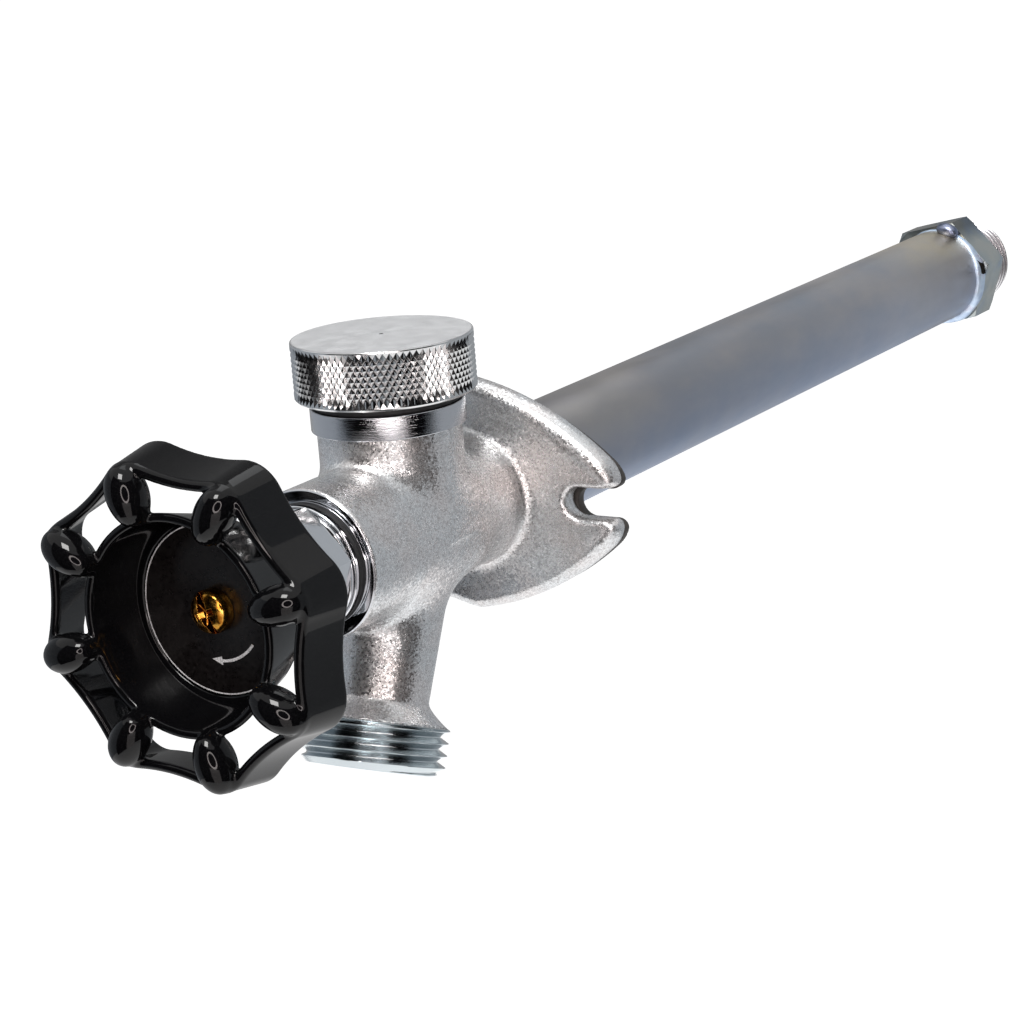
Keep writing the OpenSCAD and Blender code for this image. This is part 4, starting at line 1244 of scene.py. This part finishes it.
# Handwheel
# Die casting under thick gloss black enamel, which rounds every edge and fills the roots: a deep
# bowl on a hub, eight domed arms, and a thin scalloped rim that flares towards the back. It sits
# on the stem's square and the handle screw holds it there.
wheel_low, wheel_high = box_mm("handwheel")
plate_low, plate_high = box_mm("index_plate")
lobes = 8
half_pitch = math.pi / lobes
wheel_turn = math.radians(-15.36)
arm_front = -wheel_low.y
rim_front = arm_front - 3.0
rim_back = rim_front - 10.0
lip_front = rim_front - 1.0
floor_front = -plate_high.y
floor_back = floor_front - 2.4
hub_back = -wheel_high.y
lobe_radius = 5.5
lobe_set = 28.0 - lobe_radius
scallop_reach = 25.45
rim_swell = 0.3
rim_flare = 1.6
rim_thickness = 1.8
arm_half = 3.35
arm_rise = 3.6
arm_root = 4.2
arm_proud = 0.7
arm_middle = 22.9
arm_reach = 5.4
bowl_floor_radius = 15.6
bowl_lip_radius = 17.6
bowl_wall = 1.8
hub_radius = 7.0
rim_front_edge = 0.9
rim_back_edge = 0.7
lip_edge = 0.8
bowl_back_edge = 2.0
hollow_edge = 0.8
hub_edge = 0.5
hub_fillet = 1.6
rim_fillet = 1.0
arm_fillet = 0.9
wheel_square = 3.15
screw_hole = 2.2
scallop_top = lobe_set**2 + scallop_reach**2 - lobe_radius**2
scallop_top -= 2 * lobe_set * scallop_reach * math.cos(half_pitch)
scallop_foot = 2 * (lobe_radius - scallop_reach + lobe_set * math.cos(half_pitch))
scallop_radius = scallop_top / scallop_foot
scallop_set = scallop_reach + scallop_radius


def folded(x, z):
    """Distance along and across the nearest arm."""
    turn = np.arctan2(x, z) - wheel_turn
    turn = np.mod(turn + half_pitch, 2 * half_pitch) - half_pitch
    reach = np.hypot(x, z)
    return reach * np.cos(turn), reach * np.abs(np.sin(turn))


def lobed_outline(out, over):
    """Distance outside the front outline: lobes and scallops are arcs that touch."""
    lobe = np.hypot(out - lobe_set, over) - lobe_radius
    far_out = scallop_set * math.cos(half_pitch)
    far_over = scallop_set * math.sin(half_pitch)
    scallop = scallop_radius - np.hypot(out - far_out, over - far_over)
    ray_out, ray_over = far_out - lobe_set, far_over
    side = (out - lobe_set) * ray_over - over * ray_out
    return np.where(side > 0, lobe, scallop)


def rim_form(out, over, ahead):
    """Thin wall that follows the lobes and flares towards the back, with round edges."""
    flare = rim_swell + rim_flare * (rim_front - ahead) / (rim_front - rim_back)
    wall = np.abs(lobed_outline(out, over) - flare + rim_thickness / 2) - rim_thickness / 2
    wall = round_edge(wall, ahead - rim_front, rim_front_edge)
    return round_edge(wall, rim_back - ahead, rim_back_edge)


def arm_form(out, over, ahead):
    """Egg that lies along the arm: domed in front, deeper behind, and wider outwards."""
    along = (out - arm_middle) / arm_reach
    wide = arm_half * (1 + 0.10 * along)
    rise = ahead - arm_front - arm_proud + arm_rise
    deep = np.where(rise > 0, arm_rise, arm_root)
    egg = np.sqrt(along**2 + (over / wide) ** 2 + (rise / deep) ** 2)
    steep = np.sqrt((along / arm_reach) ** 2 + (over / wide**2) ** 2 + (rise / deep**2) ** 2)
    return egg * (egg - 1) / np.maximum(steep, 1e-3)


def wheel_form(x, y, z):
    """Bowl, hub, rim and arms run together, less the bowl's hollow, square and screw hole."""
    ahead = -y
    out, over = folded(x, z)
    reach = np.hypot(x, z)
    climb = (ahead - floor_front) / (lip_front - floor_front)
    widening = bowl_lip_radius - bowl_floor_radius
    slant = math.cos(math.atan2(widening, lip_front - floor_front))
    inner = (reach - bowl_floor_radius - widening * climb) * slant
    outer = inner - bowl_wall * (0.4 + 0.6 * np.clip(climb, 0, 1))
    cup = round_edge(outer, ahead - lip_front, lip_edge)
    cup = smooth_max(cup, floor_back - ahead, bowl_back_edge)
    hollow = smooth_max(inner, floor_front - ahead, hollow_edge)
    cup = smooth_max(cup, -hollow, 0.6)
    hub = np.maximum(hub_back - ahead, ahead - floor_front + 0.3)
    hub = smooth_max(np.maximum(reach - hub_radius, hub), hub_back - ahead, hub_edge)
    form = smooth_min(cup, hub, hub_fillet)
    form = smooth_min(form, rim_form(out, over, ahead), rim_fillet)
    form = smooth_min(form, arm_form(out, over, ahead), arm_fillet)
    form = smooth_max(form, -hollow, 0.5)
    square = np.maximum(np.abs(x), np.abs(z)) - wheel_square
    square = np.maximum(square, ahead - floor_back)
    return np.maximum(np.maximum(form, -square), screw_hole - reach)


enamel_black = (0.004, 0.004, 0.0045)
enamel = finish(
    "gloss_enamel",
    enamel_black,
    0.0,
    0.3,
    film=((0.35,), [(0.4, (0.0020, 0.0020, 0.0024)), (0.75, enamel_black)]),
    bumps=((2.6,), 0.012, 0.6),
    Specular_IOR_Level=0.0,
    Coat_Weight=0.5,
    Coat_IOR=1.5,
    Coat_Roughness=0.05,
)
wheel_step = 0.35
wheel = skin(
    "enamelled_wheel",
    wheel_form,
    (wheel_low.x, wheel_low.y - arm_proud, wheel_low.z),
    wheel_high,
    wheel_step,
    enamel,
)
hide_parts("handwheel")
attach(wheel, "stem")


# Index plate
# Thin black plate on the bowl's floor, held by the handle screw. A fine silver ring near its edge
# and a curved arrow, which shows the way to turn, are printed on it.
plate_front = -plate_low.y
plate_edge = plate_high.x
plate_film = (0.6, 3.0), [(0.4, (0.004, 0.003, 0.003)), (0.8, (0.012, 0.010, 0.010))]
plate_smears = (0.6, 3.0), 0.26, 0.4
plate_black = finish("plate_black", (0.006, 0.005, 0.005), 0.0, 0.32, plate_film, plate_smears)
plate_profile = square_ring(screw_hole, plate_edge, floor_front + 0.01, plate_front)
plate = turned("plate_disc", eased(plate_profile, 0.1), FRONT, plate_black)
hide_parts("index_plate")
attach(plate, "stem")

silver_film = (0.3,), [(0.35, (0.55, 0.55, 0.56)), (0.60, (0.95, 0.95, 0.96))]
silver = finish("printed_silver", (0.85, 0.85, 0.86), 0.25, 0.4, silver_film)
print_front = plate_front + 0.02
trim_inner = plate_edge - 0.34
trim_outer = plate_edge - 0.12
trim_profile = square_ring(trim_inner, trim_outer, plate_front, print_front)
bare_ring = turned("bare_ring", trim_profile, FRONT, silver)
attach(bare_ring, "stem")


arrow_radius = 8.9
arrow_start = 128.0
arrow_stop = 178.0
arrow_half_width = 0.25
arrow_barb = 3 * arrow_half_width
arrow_head = 2.1


def printed_arrow(name):
    """Curved band with an arrow head, of the print's thickness, that lies on the plate."""
    tip = arrow_stop + math.degrees(arrow_head / arrow_radius)
    sweep = np.linspace(arrow_start, arrow_stop, 14)
    outline = [(arrow_radius + arrow_half_width, a) for a in sweep]
    outline += [(arrow_radius + arrow_barb, arrow_stop), (arrow_radius, tip)]
    outline += [(arrow_radius - arrow_barb, arrow_stop)]
    outline += [(arrow_radius - arrow_half_width, a) for a in sweep[::-1]]
    points = []
    for height in (plate_front, print_front):
        for reach, angle in outline:
            turn = math.radians(angle)
            points.append((reach * math.sin(turn), -height, reach * math.cos(turn)))
    count = len(outline)
    faces = [tuple(range(count)), tuple(range(2 * count - 1, count - 1, -1))]
    faces += grid_faces(2, count, close_rows=False).tolist()
    return add_mesh(name, [[c * MM for c in p] for p in points], faces, silver)


turn_arrow = printed_arrow("turn_arrow")
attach(turn_arrow, "stem")


# Handle screw
# Brass pan head with a slot and a cross, amber under its lacquer, with painted shade along the
# slot. It clamps the wheel and the plate on the stem's square.
screw_low = box_mm("handle_screw")[0]
screw_radius = 3.9
screw_crown = -screw_low.y + 0.9
screw_dome = 1.5
slot_turn = math.radians(-69.2)
slot_half_width = 0.6
slot_depth = 1.9
cross_half_width = 0.55
cross_reach = 1.9
heart_half_width = 0.85
recess_edge = 0.15


def screw_form(x, y, z):
    """Domed head with a straight slot, a short tapering cross and a deeper heart."""
    ahead = -y
    reach = np.hypot(x, z)
    dome_radius = (screw_radius**2 + screw_dome**2) / (2 * screw_dome)
    dome = np.hypot(reach, ahead - screw_crown + dome_radius) - dome_radius
    head = round_edge(dome, reach - screw_radius + 0.05, 0.6)
    head = smooth_max(head, plate_front + 0.01 - ahead, 0.15)
    along = np.abs(x * math.cos(slot_turn) + z * math.sin(slot_turn))
    across = np.abs(-x * math.sin(slot_turn) + z * math.cos(slot_turn))
    floor = screw_crown - slot_depth - ahead
    slot = smooth_max(across - slot_half_width, floor, recess_edge)
    cross = smooth_max(across - cross_reach, along - cross_half_width, recess_edge)
    cross = smooth_max(cross, floor + across * 0.6, recess_edge)
    heart = smooth_max(across - heart_half_width, floor - 0.1 + along * 0.55, recess_edge)
    heart = smooth_max(heart, along - cross_reach, recess_edge)
    recess = np.minimum(np.minimum(slot, cross), heart)
    return smooth_max(head, -recess, 0.12)


def amber_brass():
    """Brass under amber lacquer, with painted shade along the slot."""
    smears, bumps = ((0.7, 3.0), 0.12, 0.24), ((0.5,), 0.003, 0.8)
    brass = (0.83, 0.48, 0.10)
    material = finish("amber_brass", brass, 1.0, 0.2, smears=smears, bumps=bumps)
    stops = [(0.32, (0.30, 0.11, 0.012)), (0.50, (0.46, 0.21, 0.03)), (0.68, (0.62, 0.37, 0.08))]
    film = ramp(material, grain(material, 1.0, 3.0), stops)
    # Painted shade: the colour turns dark brown along the slot.
    slot_side = (-math.sin(slot_turn), 0.0, math.cos(slot_turn))
    across = distance_along(material, own_place(material), slot_side)
    from_slot = calculate(material, "ABSOLUTE", across)
    slot_shade = spread(material, from_slot, 1.0, 0.0, 0.62, 0.85)
    film = blend_colour(material, slot_shade, film, (0.10, 0.025, 0.004, 1))
    return coloured(material, film)


screw = skin(
    "brass_screw",
    screw_form,
    (-screw_radius, -screw_crown, -screw_radius),
    (screw_radius, -plate_front, screw_radius),
    0.08,
    amber_brass(),
)
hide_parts("handle_screw")
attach(screw, "stem")


# Pieces inside the valve
# Brass stem, rod and holder, white guides, steel pin and clip, and rubber seals. They show only
# where the handwheel's shank and the open outlet let them.
brass_film = (5.0, 3.0), [(0.35, (0.62, 0.43, 0.17)), (0.65, (0.80, 0.60, 0.28))]
white_film = (6.0,), [(0.3, (0.74, 0.73, 0.69)), (0.7, (0.84, 0.83, 0.80))]
drawn = 0.4, 3.0, 0.5, (1, 0.1, 1)
inner_finish = {
    "yellow_brass": finish(
        "yellow_brass", (0.72, 0.52, 0.22), 1.0, 0.25, brass_film, bumps=((0.4,), 0.01, 0.7)
    ),
    "white_plastic": finish(
        "moulded_white", (0.80, 0.79, 0.76), 0.0, 0.42, white_film, bumps=((0.5,), 0.01, 0.6)
    ),
    "pin_steel": finish(
        "spring_steel", (0.56, 0.56, 0.57), 1.0, 0.28, None, (drawn, 0.2, 0.38), (drawn, 0.008, 0.6)
    ),
    "black_rubber": black_rubber,
}
for part in frame["record"]["subparts"]:
    if part["material_slot"] in inner_finish:
        inner = frame["nodes"][part["node"]]
        inner.data.materials.clear()
        inner.data.materials.append(inner_finish[part["material_slot"]])
